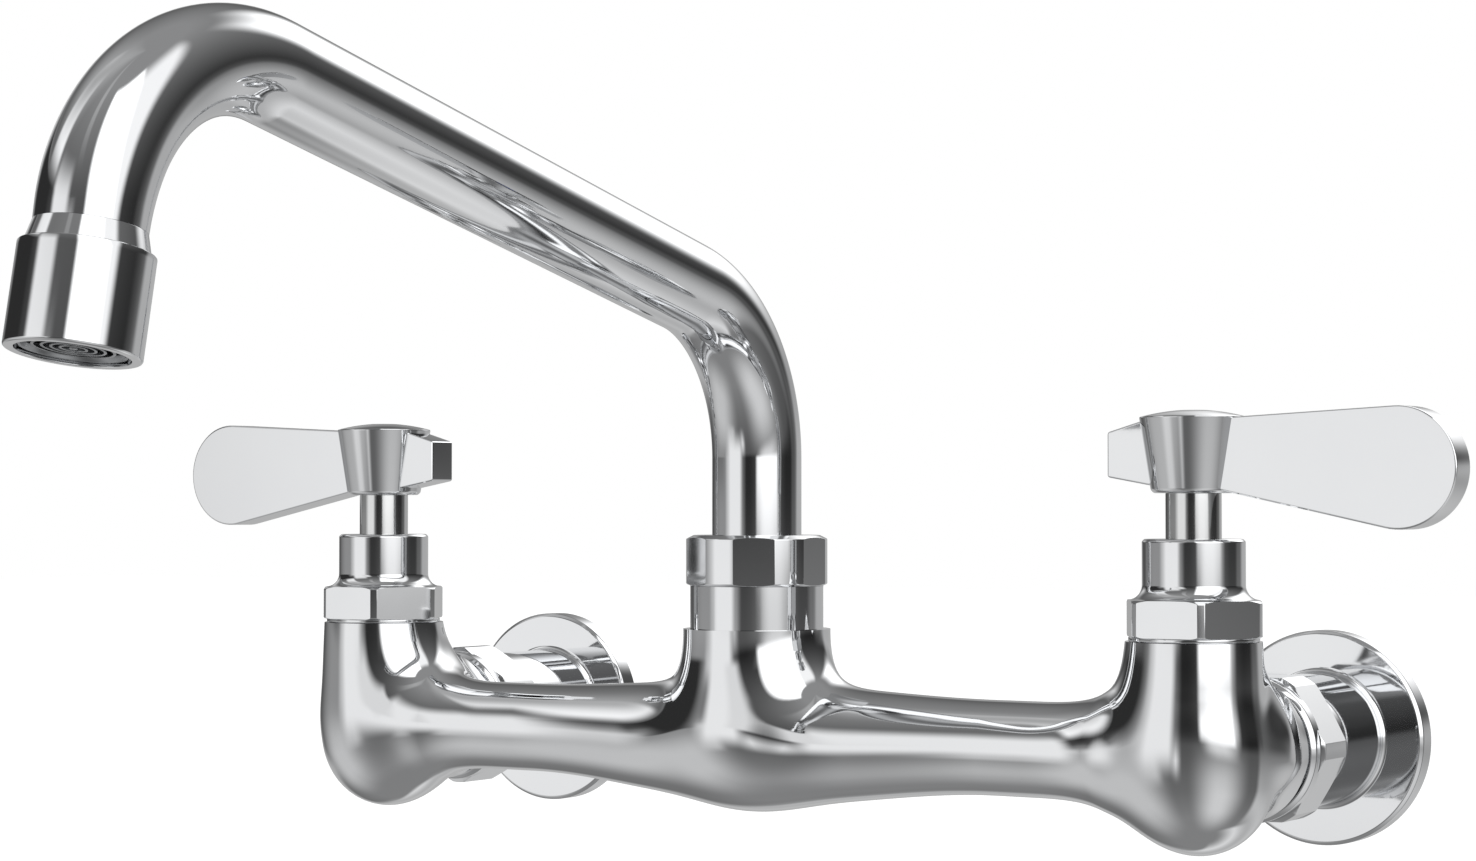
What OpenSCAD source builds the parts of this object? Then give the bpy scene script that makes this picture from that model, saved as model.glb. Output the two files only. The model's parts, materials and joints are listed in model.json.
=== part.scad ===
// Wall faucet for a commercial kitchen: cast bridge body, two quarter-turn valves with lever handles,
// two wall unions and a swivel spout with an aerator. Millimetres.
// Origin: midway between the two inlets on the wall's face. +X to the cold side, +Y into the wall, +Z up.

/* [Layout] */
// Distance between the two inlets, and between the two valves
centres = 203.2; // [190:0.1:220]
// Distance from the wall to the axes of the valves and of the spout
wall_to_axis = 69.5; // [68:0.1:74]
// Distance from the spout's axis to the middle of the outlet's lower end
reach = 203.2; // [190:0.1:260]

/* [Cast body] */
// Radius of a valve column at its rounded foot
column_foot_r = 13.9; // [13.8:0.05:14.4]
// Radius of a valve column at its top
column_top_r = 13.4; // [13.3:0.05:14]
// Height of a valve column's top above the inlets
column_top_z = 22.9; // [22.5:0.1:23.5]
// Depth of the centre of a column's rounded foot below the inlets
column_foot_drop = 4.75; // [4.5:0.05:6]
// Radius of the middle boss at its rounded foot
boss_foot_r = 15.4; // [15:0.1:16.5]
// Radius of the middle boss at its top
boss_top_r = 15.7; // [15.5:0.1:16.5]
// Height of the centre of the boss's rounded foot
boss_foot_z = 5.6; // [4:0.1:7]
// Height of the boss's top
boss_top_z = 23.4; // [22:0.1:25]
// Radius of the bridge between a valve and the boss
bridge_r = 9.4; // [9:0.1:10.5]
// Radius of the bridge under the boss
bridge_middle_r = 12.5; // [12:0.1:14]
// Radius of a rear arm at its root
arm_root_r = 14.4; // [14:0.1:15]
// Radius of a rear arm where it is machined for its union
arm_tip_r = 14.5; // [14:0.05:15]
// Width over which a valve column and its arm melt together
arm_blend = 12.7; // [10:0.1:14]
// Width over which the boss and the bridge melt together
boss_blend = 21.7; // [18:0.1:24]
// Width over which a column and the bridge melt together
bridge_blend = 23.9; // [20:0.1:26]

/* [Wall union] */
// Radius of the round wall flange
flange_r = 22.9; // [21:0.1:26]
// Thickness of the wall flange
flange_t = 5.2; // [4.6:0.1:6]
// Radius of the flange's neck
inlet_neck_r = 14.05; // [13.6:0.05:14.4]
// Length of the flange's neck
inlet_neck_l = 24.2; // [22:0.1:26]
// Length of the male union thread
union_thread_l = 8; // [7.6:0.1:8.6]
// Width of the union nut across its flats
union_nut_flats = 29.2; // [28.4:0.1:30]
// Diameter of the union nut over its turned corners
union_nut_over_corners = 32; // [31.2:0.1:33]
// Radius of the union nut's round collar
union_collar_r = 15; // [14.6:0.1:15.4]
// Length of the union nut's round collar
union_collar_l = 2.7; // [2.4:0.1:3.4]
// Radius of the female pipe thread in the wall, at its pitch line
pipe_thread_r = 9.9; // [9.5:0.05:10.4]
// Length of the female pipe thread
pipe_thread_l = 14; // [12:0.5:16]

/* [Valves] */
// Width of the bonnet's hexagon across its flats
bonnet_flats = 25.4; // [25:0.1:26]
// Diameter of the bonnet's hexagon over its turned corners
bonnet_over_corners = 28.5; // [28:0.1:29.5]
// Height of the bonnet's hexagon
bonnet_hex_h = 7.25; // [6.5:0.05:8]
// Radius of the bonnet's turned neck
bonnet_neck_r = 10.15; // [9.8:0.05:10.6]
// Height of the bonnet's top above the inlets
bonnet_top_z = 43; // [42.5:0.1:43.5]
// Radius of the stem where it shows
stem_r = 5.5; // [5.3:0.05:5.6]
// Height of the handle's underside above the inlets
handle_z = 52; // [50:0.1:54]

/* [Handles] */
// Height of the handle's hub, up to the top of its dome
hub_h = 16.4; // [16:0.1:18]
// Radius of the hub's underside
hub_foot_r = 8.35; // [8:0.05:9]
// Radius of the hub at the rim of its dome
hub_top_r = 10.6; // [10.2:0.05:11.2]
// Height of the dome above its rim
dome_h = 1.45; // [1.2:0.05:2]
// Thickness of the lever's flat blade
blade_t = 7.6; // [6.5:0.1:9]
// Radius of the blade's round tip
blade_tip_r = 11.75; // [10:0.05:12.5]
// Distance from the stem's axis to the centre of the blade's tip
blade_l = 43.55; // [38:0.05:60]
// Distance from the stem's axis to the end of the short tail
tail_l = 16.95; // [15:0.05:20]

/* [Spout] */
// Radius of the neck below the spout nut
neck_r = 14.2; // [14:0.05:14.6]
// Height of the neck between the boss and the spout nut
neck_h = 9.1; // [8:0.1:10]
// Width of the spout nut across its flats
spout_nut_flats = 28.8; // [28.2:0.1:29.4]
// Diameter of the spout nut over its turned corners
spout_nut_over_corners = 30.1; // [29.6:0.1:31]
// Height of the spout nut
spout_nut_h = 10.8; // [10.4:0.1:11.6]
// Outer radius of the spout's tube
tube_r = 9.525; // [9.3:0.025:9.6]
// Wall of the spout's tube
tube_wall = 1.425; // [1.2:0.025:1.6]
// Height at which the riser's bend starts
riser_top_z = 59.6; // [56:0.1:100]
// Radius of the riser's bend at the tube's middle
riser_bend_r = 36.1; // [32:0.1:45]
// Rise of the tube's straight run above the level
run_angle = 12.9; // [5:0.1:20]
// Radius of the crown at the tube's middle
crown_r = 35.3; // [30:0.1:42]
// Lean of the outlet forward of the plumb line
outlet_lean = 10.7; // [0:0.1:15]
// Radius of the aerator's housing
aerator_r = 11.15; // [11:0.05:11.6]
// Length of the aerator's housing
aerator_l = 17.2; // [16.8:0.1:18.6]

/* [Hidden] */

// Facets of a full circle in the preview mesh
$fn = 96;
// Reach of a cut past the face that it opens
overrun = 1;
// Clearance between a thread and its mating thread
thread_gap = 0.15;
// Running clearance between a shaft and its hole
running_gap = 0.08;
// Free clearance between pieces that move past each other
free_gap = 0.3;
// Clearance between flat faces that slide on each other
slide_gap = 0.05;
// Clearance of pieces that are pushed or brazed together
push_gap = 0.075;

half_centres = centres / 2;
HOT = -1;
COLD = 1;

// Cast body: where its forms start and end, measured from the valves' axis
foot_setback = 3.4;
foot_setback_h = 26;
bridge_swell_l = 59.3;
bridge_middle_drop = 0.85;
bridge_end_l = 23.5;
arm_start = 4.8;
arm_taper_l = 22;
cast_lap = 1;
core_z = 3;
// Rays of each ring of the cast skin, rings of each stretch of it, and halvings that find the skin on a ray
skin_rays = 44;
boss_rings = 8;
bridge_rings = 9;
inner_column_rings = 10;
outer_column_rings = 9;
skin_halvings = 15;

// Wall union, measured from the wall
union_washer_t = 2;
arm_land_l = 1.6;
union_ring_t = 1.5;
union_lip_t = 2;
shoulder_gap = 3;
union_ring_r = 13;
union_ring_slot = 2.5;
spigot_r = 12.15;
ring_groove_r = 11.4;
union_thread_r = 13.2;
inlet_bore_r = 7.5;
union_washer_inner_r = 7.5;
flange_fillet = 1.2;
flange_chamfer = 0.7;
relief_inner_r = 12.5;
relief_outer_r = 20.3;
relief_depth = 3;
nut_chamfer = 0.9;
union_corner_chamfer = 1.4;
// Turn at which the hot union nut came to rest: the cold one rests with two corners level
hot_nut_turn = 30;
inlet_end = flange_t + inlet_neck_l + union_thread_l;
arm_end = inlet_end + union_washer_t;
lip_rear = arm_end + arm_land_l + union_ring_t;
union_front = lip_rear + union_lip_t;
union_rear = flange_t + inlet_neck_l + free_gap;
arm_shoulder = union_front + shoulder_gap;

// Valve, measured up from the inlets' height
seat_z = 0;
seat_bore_r = 9.4;
seat_bore_h = 3.5;
gallery_r = 10.4;
gallery_top_z = 13.5;
valve_thread_r = 11;
lower_chamber_r = 5.6;
lower_chamber_depth = 13;
inlet_passage_r = 4.8;
inlet_passage_drop = 8;
cross_passage_r = 4.2;
cross_passage_valve_z = 4.5;
cross_passage_middle_z = -0.5;
housing_r = 9.1;
housing_inner_r = 8;
housing_h = 14;
seat_seal_h = 2.4;
disc_t = 3;
moving_disc_t = 2.8;
disc_gap = 0.15;
port_inner_r = 2.2;
port_outer_r = 6.6;
port_angle = 78;
outlet_window_w = 5;
outlet_window_h = 2.6;
drive_slot_w = 2.8;
drive_slot_depth = 1.1;
disc_web_t = 0.4;
drive_bar_l = 13;
driver_r = 7.5;
driver_t = 2.25;
stop_lug_w = 3;
stop_lug_h = 1.6;
quarter_turn = 90;
stop_slack = 1;
stem_body_r = 6.2;
shoulder_r = 7.4;
shoulder_t = 2;
thrust_washer_t = 1.8;
thrust_face_z = 30;
bonnet_bore_r = 7.8;
o_ring_groove_r = 4.9;
o_ring_groove_w = 1.6;
o_ring_pitch = 3.4;
first_o_ring_z = 31;
stem_neck_z = 39.2;
bonnet_seal_t = 0.9;
bonnet_seal_r = 12.9;
bonnet_chamfer = 0.5;
bonnet_cove_r = 2.9;
spline_r = 4.2;
spline_root_r = 3.7;
spline_teeth = 16;
spline_h = 8.8;
spline_socket_h = 9;
stem_tap_r = 2.1;
stem_tap_depth = 10;
bonnet_seat_z = column_top_z + bonnet_seal_t;
bonnet_shank_z = seat_z + housing_h;
fixed_disc_z = seat_z + seat_seal_h;
moving_disc_z = fixed_disc_z + disc_t + slide_gap;
driver_z = moving_disc_z + moving_disc_t + slide_gap;

// Handle, measured up from its underside
hub_foot_round = 0.6;
blade_foot_h = 2.1;
blade_top_h = 14.3;
tail_root_l = 8;
tail_foot_h = 1.55;
tail_top_h = 14.7;
tail_end_foot_h = 3.15;
tail_end_top_h = 12.1;
blade_tip_h = 4.75;
screw_seat_h = 10.5;
screw_hole_r = 2.6;
screw_recess_r = 4.6;
screw_head_r = 4.2;
screw_head_h = 3;
screw_shank_r = 2;
screw_shank_l = 9;
screw_socket_flats = 3;
screw_socket_depth = 1.6;
button_recess_r = 6.2;
button_t = 2;
button_r = 6.1;
index_recess_r = 2.7;
index_recess_depth = 1;
index_dot_r = 2.6;
index_dot_t = 0.6;

// Spout, measured up from the inlets' height, and along the outlet from the end of the crown
spout_nut_chamfer = 1.6;
spigot_top_r = 12.6;
spigot_top_h = 8.4;
socket_r = 11.4;
socket_foot_z = 8;
mixing_r = 8;
mixing_foot_z = -7;
collar_r = 11.1;
collar_bore_r = 8;
tube_foot_z = 24;
lower_washer_t = 1.5;
lower_washer_bore_r = 8.2;
bearing_t = 2.6;
bearing_bore_r = 9.85;
spout_o_ring_r = 0.95;
spout_o_ring_z = 16;
spout_o_ring_pitch = 5;
spout_groove_w = 2.3;
nut_bore_top_gap = 0.35;
// Sides of the tube's skin, and rings of each bend of it
tube_sides = 36;
riser_bend_rings = 9;
crown_rise_rings = 2;
crown_fall_rings = 9;
outlet_stub_l = 2.3;
flare_l = 3.7;
flare_r = 10.1;
adapter_spigot_l = 3.8;
adapter_spigot_r = 8;
adapter_bore_r = 6.8;
outlet_thread_r = 9.6;
outlet_thread_l = 6.3;
aerator_top_chamfer = 0.3;
aerator_chamfer = 1;
aerator_lip_t = 1.7;
aerator_mouth_r = 9.3;
aerator_washer_t = 1.6;
insert_flange_gap = 0.15;
insert_skirt_gap = 0.55;
flow_plate_t = 1.2;
screen_t = 0.5;
insert_wall = 0.8;
insert_ring_t = 0.5;
insert_ring_pitch = 1.47;
insert_ring_first_r = 2.35;
insert_pin_r = 0.7;
insert_ring_count = 4;
insert_ring_h = 2.4;
insert_recess = 0.6;
insert_ribs = 6;
flow_hole_r = 0.6;
flow_hole_count = 12;
flow_circle_r = 6;
screen_hole_r = 0.45;
screen_hole_pitch = 1.5;

neck_top_z = boss_top_z + neck_h;
spout_nut_top_z = neck_top_z + spout_nut_h;
spigot_top_z = neck_top_z + spigot_top_h;
lip_foot_z = spigot_top_z + nut_bore_top_gap;
collar_top_z = lip_foot_z - bearing_t - slide_gap;
collar_foot_z = socket_foot_z + lower_washer_t + 2 * slide_gap;

// The spout's middle line: forward distance from its axis and height
run_start = [riser_bend_r * (1 - sin(run_angle)), riser_top_z + riser_bend_r * cos(run_angle)];
outlet_l = outlet_stub_l + flare_l + aerator_l;
crown_width = crown_r * (sin(run_angle) + cos(outlet_lean)) + outlet_l * sin(outlet_lean);
run_l = (reach - run_start.x - crown_width) / cos(run_angle);
run_end = run_start + run_l * [cos(run_angle), sin(run_angle)];
crown_centre = run_end + crown_r * [sin(run_angle), -cos(run_angle)];
crown_end = crown_centre + crown_r * [cos(outlet_lean), sin(outlet_lean)];

// Shared shapes

// Ring between two radii and two heights
module ring(outer_r, inner_r, low, high) {
    rotate_extrude() translate([inner_r, low]) square([outer_r - inner_r, high - low]);
}

// Upright cylinder between two heights
module rod(r, low, high) {
    translate([0, 0, low]) cylinder(r = r, h = high - low);
}

// Turned solid with square shoulders: each step is [radius, height of its upper end]
module stepped(low, steps) {
    ends = [for (i = [0 : len(steps) - 1]) i == 0 ? low : steps[i - 1].y];
    corners = [for (i = [0 : len(steps) - 1], z = [ends[i], steps[i].y]) [steps[i].x, z]];
    rotate_extrude() polygon(concat([[0, low]], corners, [[0, steps[len(steps) - 1].y]]));
}

// Hexagon between two heights, turned to a round over its corners and chamfered at both ends
module turned_hexagon(flats, over_corners, low, high, low_chamfer, high_chamfer) {
    r = over_corners / 2;
    intersection() {
        translate([0, 0, low]) cylinder(d = flats / cos(30), h = high - low, $fn = 6);
        rotate_extrude() polygon([
            [0, low], [r - low_chamfer, low], [r, low + low_chamfer / 2],
            [r, high - high_chamfer / 2], [r - high_chamfer, high], [0, high]]);
    }
}

// Sector of a ring, centred on +X
module sector(outer_r, inner_r, angle, low, high) {
    far = 3 * outer_r;
    translate([0, 0, low]) linear_extrude(high - low) intersection() {
        difference() {
            circle(r = outer_r);
            circle(r = inner_r);
        }
        polygon([[0, 0], far * [cos(angle / 2), -sin(angle / 2)], far * [cos(angle / 2), sin(angle / 2)]]);
    }
}

// Star-shaped outline of a spline
module spline_outline(tip_r, root_r) {
    step = 360 / spline_teeth;
    polygon([for (i = [0 : spline_teeth - 1], k = [0 : 3])
        let (r = k < 2 ? tip_r : root_r, a = (i + k / 4) * step) r * [cos(a), sin(a)]]);
}

// Torus of an O-ring at a height
module o_ring(outer_r, section_r, z) {
    translate([0, 0, z]) rotate_extrude() translate([outer_r - section_r, 0]) circle(r = section_r);
}

// Puts a valve's pieces, drawn for the cold side, on their own side
module at_valve(side) {
    translate([side * half_centres, -wall_to_axis, 0])
        if (side == HOT) mirror([1, 0, 0]) children();
        else children();
}

// Puts a union's pieces, drawn with +Z away from the wall, on their own side
module at_inlet(side) {
    translate([side * half_centres, 0, 0]) rotate([90, 0, 0]) children();
}

// Puts the outlet's pieces, drawn with +Z along the falling water, at the end of the crown
module at_outlet() {
    translate([0, -wall_to_axis - crown_end.x, crown_end.y]) rotate([180 - outlet_lean, 0, 0]) children();
}

// Cast body

function unit(t) = max(0, min(1, t));
function ease(t) = unit(t) * unit(t) * (3 - 2 * unit(t));

// Union of two distances, rounded over the width k
function melt(a, b, k) = let (h = max(k - abs(a - b), 0) / k) min(a, b) - k * pow(h, 3) / 6;

// Distance to an upright bar with a round foot and head
function bar(x, y, z, foot_z, head_z, foot_r, head_r) =
    let (t = unit((z - foot_z) / (head_z - foot_z)))
    norm([x, y, z - foot_z - t * (head_z - foot_z)]) - foot_r - t * (head_r - foot_r);

// Distance from a point, measured from the spout's axis, to the skin of the casting: under zero inside it
function casting(p) =
    let (
        x = abs(p.x),
        setback = foot_setback * pow(1 - unit((p.z + column_foot_drop) / foot_setback_h), 2),
        column = bar(x - half_centres, p.y - setback, p.z,
            -column_foot_drop, column_top_z + cast_lap, column_foot_r, column_top_r),
        boss = bar(x, p.y, p.z, boss_foot_z, boss_top_z + cast_lap, boss_foot_r, boss_top_r),
        swell = ease(1 - x / bridge_swell_l),
        past_end = max(x - half_centres + bridge_end_l, 0),
        bridge = norm([past_end, p.y, p.z + bridge_middle_drop * swell])
            - bridge_r - (bridge_middle_r - bridge_r) * swell,
        arm_y = max(arm_start, min(p.y, wall_to_axis - arm_shoulder + cast_lap)),
        arm = norm([x - half_centres, p.y - arm_y, p.z])
            - arm_root_r - (arm_tip_r - arm_root_r) * unit(p.y / arm_taper_l)
    )
    melt(melt(column, arm, arm_blend), melt(boss, bridge, boss_blend), bridge_blend);

// Distance from the core line to the skin along a ray at angle a
function skin_r(x, a, near, far, turns) =
    let (middle = (near + far) / 2)
    turns == 0 ? middle :
        casting([x, middle * cos(a), core_z + middle * sin(a)]) < 0
            ? skin_r(x, a, middle, far, turns - 1) : skin_r(x, a, near, middle, turns - 1);

// Where the core line leaves the casting
function skin_end(near, far, turns) =
    let (middle = (near + far) / 2)
    turns == 0 ? near :
        casting([middle, 0, core_z]) < 0 ? skin_end(middle, far, turns - 1) : skin_end(near, middle, turns - 1);

// Skin of the casting: rings of points round a level core line, closer where the form turns faster
module cast_skin() {
    skin_far = wall_to_axis - arm_shoulder + 2 * arm_root_r;
    end_x = skin_end(half_centres, half_centres + 2 * column_foot_r, 2 * skin_halvings);
    boss_edge = 1.5 * boss_top_r;
    column_edge = half_centres - bridge_end_l;
    right = concat(
        [for (i = [1 : boss_rings]) boss_edge * i / boss_rings],
        [for (i = [1 : bridge_rings]) boss_edge + (column_edge - boss_edge) * i / bridge_rings],
        [for (i = [1 : inner_column_rings]) column_edge + bridge_end_l * i / inner_column_rings],
        [for (i = [1 : outer_column_rings - 1])
            half_centres + (end_x - half_centres) * sin(quarter_turn * i / outer_column_rings)]);
    half = concat([0], right);
    profiles = [for (x = half)
        [for (k = [0 : skin_rays - 1]) skin_r(x, 360 * k / skin_rays, 0, skin_far, skin_halvings)]];
    last = len(right);
    rings = [for (i = [-last : last])
        [for (k = [0 : skin_rays - 1])
            let (r = profiles[abs(i)][k], a = 360 * k / skin_rays)
            [sign(i) * half[abs(i)], r * cos(a), core_z + r * sin(a)]]];
    count = len(rings);
    points = concat([for (points_of_ring = rings) each points_of_ring], [[-end_x, 0, core_z], [end_x, 0, core_z]]);
    left_pole = count * skin_rays;
    right_pole = left_pole + 1;
    faces = concat(
        [for (i = [0 : count - 2], k = [0 : skin_rays - 1])
            let (a = i * skin_rays + k, b = i * skin_rays + (k + 1) % skin_rays, c = a + skin_rays, d = b + skin_rays)
            each [[a, c, b], [b, c, d]]],
        [for (k = [0 : skin_rays - 1]) [left_pole, k, (k + 1) % skin_rays]],
        [for (k = [0 : skin_rays - 1])
            let (first = (count - 1) * skin_rays) [right_pole, first + (k + 1) % skin_rays, first + k]]);
    polyhedron(points = points, faces = faces);
}

// Casting with its machined ends, before its bores: drawn about the spout's axis
module cast_blank() {
    cut_w = 4 * column_foot_r;
    cut_l = wall_to_axis;
    difference() {
        cast_skin();
        for (side = [HOT, COLD]) {
            translate([side * half_centres - cut_w / 2, -cut_l / 2, column_top_z]) cube([cut_w, cut_l, cut_l]);
            translate([side * half_centres - cut_w / 2, wall_to_axis - arm_shoulder, -cut_l / 2])
                cube([cut_w, cut_l, cut_l]);
        }
        translate([-cut_w / 2, -cut_l / 2, boss_top_z]) cube([cut_w, cut_l, cut_l]);
    }
    rod(neck_r, socket_foot_z, neck_top_z);
    rod(spigot_top_r, socket_foot_z, spigot_top_z);
    for (side = [HOT, COLD])
        translate([side * half_centres, wall_to_axis, 0]) rotate([90, 0, 0]) {
            rod(spigot_r, lip_rear, arm_shoulder + cast_lap);
            rod(ring_groove_r, arm_end + arm_land_l, lip_rear + cast_lap);
            rod(spigot_r, arm_end, arm_end + arm_land_l);
        }
}

module body() {
    cross_rise = cross_passage_valve_z - cross_passage_middle_z;
    cross_l = norm([half_centres, cross_rise]);
    inlet_run = wall_to_axis - arm_end;
    color("silver") translate([0, -wall_to_axis, 0]) difference() {
        cast_blank();
        for (side = [HOT, COLD]) {
            translate([side * half_centres, 0, 0]) {
                rod(lower_chamber_r, seat_z - lower_chamber_depth, seat_z + overrun);
                rod(seat_bore_r, seat_z, seat_z + seat_bore_h + overrun);
                rod(gallery_r, seat_z + seat_bore_h, gallery_top_z + overrun);
                rod(valve_thread_r, gallery_top_z, column_top_z + overrun);
                translate([0, inlet_run, 0]) rotate([90 + atan2(inlet_passage_drop, inlet_run), 0, 0])
                    rod(inlet_passage_r, -2 * overrun, norm([inlet_run, inlet_passage_drop]));
            }
            translate([0, 0, cross_passage_middle_z])
                rotate([0, side * atan2(half_centres, cross_rise), 0])
                rod(cross_passage_r, 0, cross_l);
        }
        rod(mixing_r, mixing_foot_z, socket_foot_z + overrun);
        rod(socket_r, socket_foot_z, spigot_top_z + overrun);
    }
}

// Wall union

module inlet_flange(side) {
    at_inlet(side) color("silver") difference() {
        union() {
            rotate_extrude() polygon([
                [0, 0], [flange_r, 0], [flange_r, flange_t - flange_chamfer],
                [flange_r - flange_chamfer, flange_t], [0, flange_t]]);
            rotate_extrude() difference() {
                square([inlet_neck_r + flange_fillet, flange_t + flange_fillet]);
                translate([inlet_neck_r + flange_fillet, flange_t + flange_fillet]) circle(r = flange_fillet);
            }
            rod(inlet_neck_r, 0, flange_t + inlet_neck_l);
            rod(union_thread_r, 0, inlet_end);
        }
        rod(pipe_thread_r, -overrun, pipe_thread_l);
        rod(inlet_bore_r, 0, inlet_end + overrun);
        ring(relief_outer_r, relief_inner_r, -overrun, relief_depth);
    }
}

module union_nut(side) {
    hex_top = union_front - union_collar_l;
    collar_step = union_nut_over_corners / 2 - union_collar_r;
    at_inlet(side) rotate(side == HOT ? hot_nut_turn : 0) color("gainsboro") difference() {
        union() {
            turned_hexagon(union_nut_flats, union_nut_over_corners, union_rear, hex_top,
                union_corner_chamfer, collar_step);
            rotate_extrude() polygon([
                [0, hex_top - collar_step / 2], [union_collar_r, hex_top - collar_step / 2],
                [union_collar_r, union_front - nut_chamfer],
                [union_collar_r - nut_chamfer, union_front], [0, union_front]]);
        }
        rod(union_thread_r + thread_gap, union_rear - overrun, lip_rear);
        rod(spigot_r + free_gap, lip_rear - overrun, union_front + overrun);
    }
}

module union_ring(side) {
    at_inlet(side) color("dimgray") difference() {
        ring(union_ring_r, ring_groove_r + slide_gap, lip_rear - union_ring_t, lip_rear);
        translate([-union_ring_slot / 2, 0, lip_rear - union_ring_t - overrun])
            cube([union_ring_slot, union_ring_r + overrun, union_ring_t + 2 * overrun]);
    }
}

module union_washer(side) {
    at_inlet(side) color("#303030") ring(spigot_r, union_washer_inner_r, inlet_end, arm_end);
}

// Valve

module bonnet(side) {
    at_valve(side) color("gainsboro") difference() {
        union() {
            turned_hexagon(bonnet_flats, bonnet_over_corners, bonnet_seat_z, bonnet_seat_z + bonnet_hex_h,
                bonnet_chamfer, nut_chamfer);
            translate([0, 0, bonnet_seat_z + bonnet_hex_h]) rotate_extrude() difference() {
                square([bonnet_neck_r + bonnet_cove_r, bonnet_cove_r]);
                translate([bonnet_neck_r + bonnet_cove_r, bonnet_cove_r]) circle(r = bonnet_cove_r);
            }
            rotate_extrude() polygon([
                [0, bonnet_seat_z], [bonnet_neck_r, bonnet_seat_z],
                [bonnet_neck_r, bonnet_top_z - bonnet_chamfer],
                [bonnet_neck_r - bonnet_chamfer, bonnet_top_z], [0, bonnet_top_z]]);
            rod(valve_thread_r - thread_gap, bonnet_shank_z, bonnet_seat_z + bonnet_chamfer);
        }
        rod(bonnet_bore_r, bonnet_shank_z - overrun, thrust_face_z);
        rod(stem_body_r + running_gap, thrust_face_z - overrun, stem_neck_z + free_gap);
        rod(stem_r + running_gap, stem_neck_z, bonnet_top_z + overrun);
    }
}

module bonnet_seal(side) {
    at_valve(side) color("silver")
        ring(bonnet_seal_r, valve_thread_r, column_top_z, column_top_z + bonnet_seal_t);
}

module cartridge_housing(side) {
    slot_angle = quarter_turn + 2 * (stop_slack + asin(stop_lug_w / 2 / housing_inner_r));
    window_z = moving_disc_z;
    at_valve(side) color("white") difference() {
        ring(housing_r, housing_inner_r, seat_z, seat_z + housing_h);
        for (i = [0 : 3])
            rotate(90 * i) translate([0, -outlet_window_w / 2, window_z])
                cube([housing_r + overrun, outlet_window_w, outlet_window_h]);
        rotate(-quarter_turn / 2) sector(housing_r + overrun, housing_inner_r - free_gap, slot_angle,
            driver_z + driver_t - stop_lug_h - free_gap, seat_z + housing_h + overrun);
    }
}

module fixed_disc(side) {
    at_valve(side) color("ivory") difference() {
        rod(housing_inner_r - disc_gap, fixed_disc_z, fixed_disc_z + disc_t);
        for (a = [0, 180])
            rotate(a) sector(port_outer_r, port_inner_r, port_angle,
                fixed_disc_z - overrun, fixed_disc_z + disc_t + overrun);
    }
}

module seat_seal(side) {
    at_valve(side) color("#303030")
        ring(housing_inner_r - disc_gap, lower_chamber_r + slide_gap, seat_z, fixed_disc_z);
}

module moving_disc(side) {
    disc_r = housing_inner_r - free_gap;
    at_valve(side) color("white") difference() {
        rod(disc_r, moving_disc_z, moving_disc_z + moving_disc_t);
        for (a = [90, 270])
            rotate(a) sector(disc_r + overrun, port_inner_r, port_angle,
                moving_disc_z - overrun, moving_disc_z + moving_disc_t - drive_slot_depth - disc_web_t);
        translate([-disc_r - overrun, -drive_slot_w / 2, moving_disc_z + moving_disc_t - drive_slot_depth])
            cube([2 * (disc_r + overrun), drive_slot_w, drive_slot_depth + overrun]);
    }
}

module stem(side) {
    driver_top = driver_z + driver_t;
    first_shoulder = thrust_face_z - thrust_washer_t - 2 * slide_gap - shoulder_t;
    groove_foot = [first_o_ring_z, first_o_ring_z + o_ring_pitch];
    spline_top = handle_z + spline_h;
    at_valve(side) color("goldenrod") difference() {
        union() {
            stepped(driver_z, [
                [driver_r, driver_top],
                [stem_body_r, first_shoulder],
                [shoulder_r, first_shoulder + shoulder_t],
                [stem_body_r, groove_foot[0]],
                [o_ring_groove_r, groove_foot[0] + o_ring_groove_w],
                [stem_body_r, groove_foot[1]],
                [o_ring_groove_r, groove_foot[1] + o_ring_groove_w],
                [stem_body_r, stem_neck_z],
                [stem_r, handle_z]]);
            translate([0, 0, handle_z]) linear_extrude(spline_h) spline_outline(spline_r, spline_root_r);
            translate([-drive_bar_l / 2, -drive_slot_w / 2 + slide_gap, driver_z - drive_slot_depth])
                cube([drive_bar_l, drive_slot_w - 2 * slide_gap, drive_slot_depth + driver_t / 2]);
            translate([0, -stop_lug_w / 2, driver_top - stop_lug_h])
                cube([housing_r - free_gap / 2, stop_lug_w, stop_lug_h]);
        }
        rod(stem_tap_r, spline_top - stem_tap_depth, spline_top + overrun);
    }
}

module stem_o_rings(side) {
    section = (stem_body_r - o_ring_groove_r) / 2;
    at_valve(side) color("#202020")
        for (i = [0, 1])
            o_ring(stem_body_r, section, first_o_ring_z + o_ring_groove_w / 2 + i * o_ring_pitch);
}

module thrust_washer(side) {
    at_valve(side) color("whitesmoke")
        ring(bonnet_bore_r - slide_gap, stem_body_r + free_gap / 2, thrust_face_z - thrust_washer_t, thrust_face_z);
}

// Handle

// Point at which a line from a corner touches a circle: turn is 1 for the upper side and -1 for the lower
function touch(corner, centre, r, turn) =
    let (
        away = centre - corner,
        d = norm(away),
        a = atan2(away.y, away.x) + turn * asin(r / d)
    )
    corner + sqrt(d * d - r * r) * [cos(a), sin(a)];

// Side view of the lever: distance from the stem's axis, and height above the hub's underside
module lever_outline() {
    tip = [blade_l, blade_tip_h];
    foot = [0, blade_foot_h];
    top = [0, blade_top_h];
    translate(tip) circle(r = blade_tip_r);
    polygon([
        foot, touch(foot, tip, blade_tip_r, -1), tip, touch(top, tip, blade_tip_r, 1), top,
        [0, tail_top_h], [-tail_root_l, tail_top_h], [-tail_l, tail_end_top_h], [-tail_l, tail_end_foot_h],
        [-tail_root_l, tail_foot_h], [0, tail_foot_h]]);
}

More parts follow.
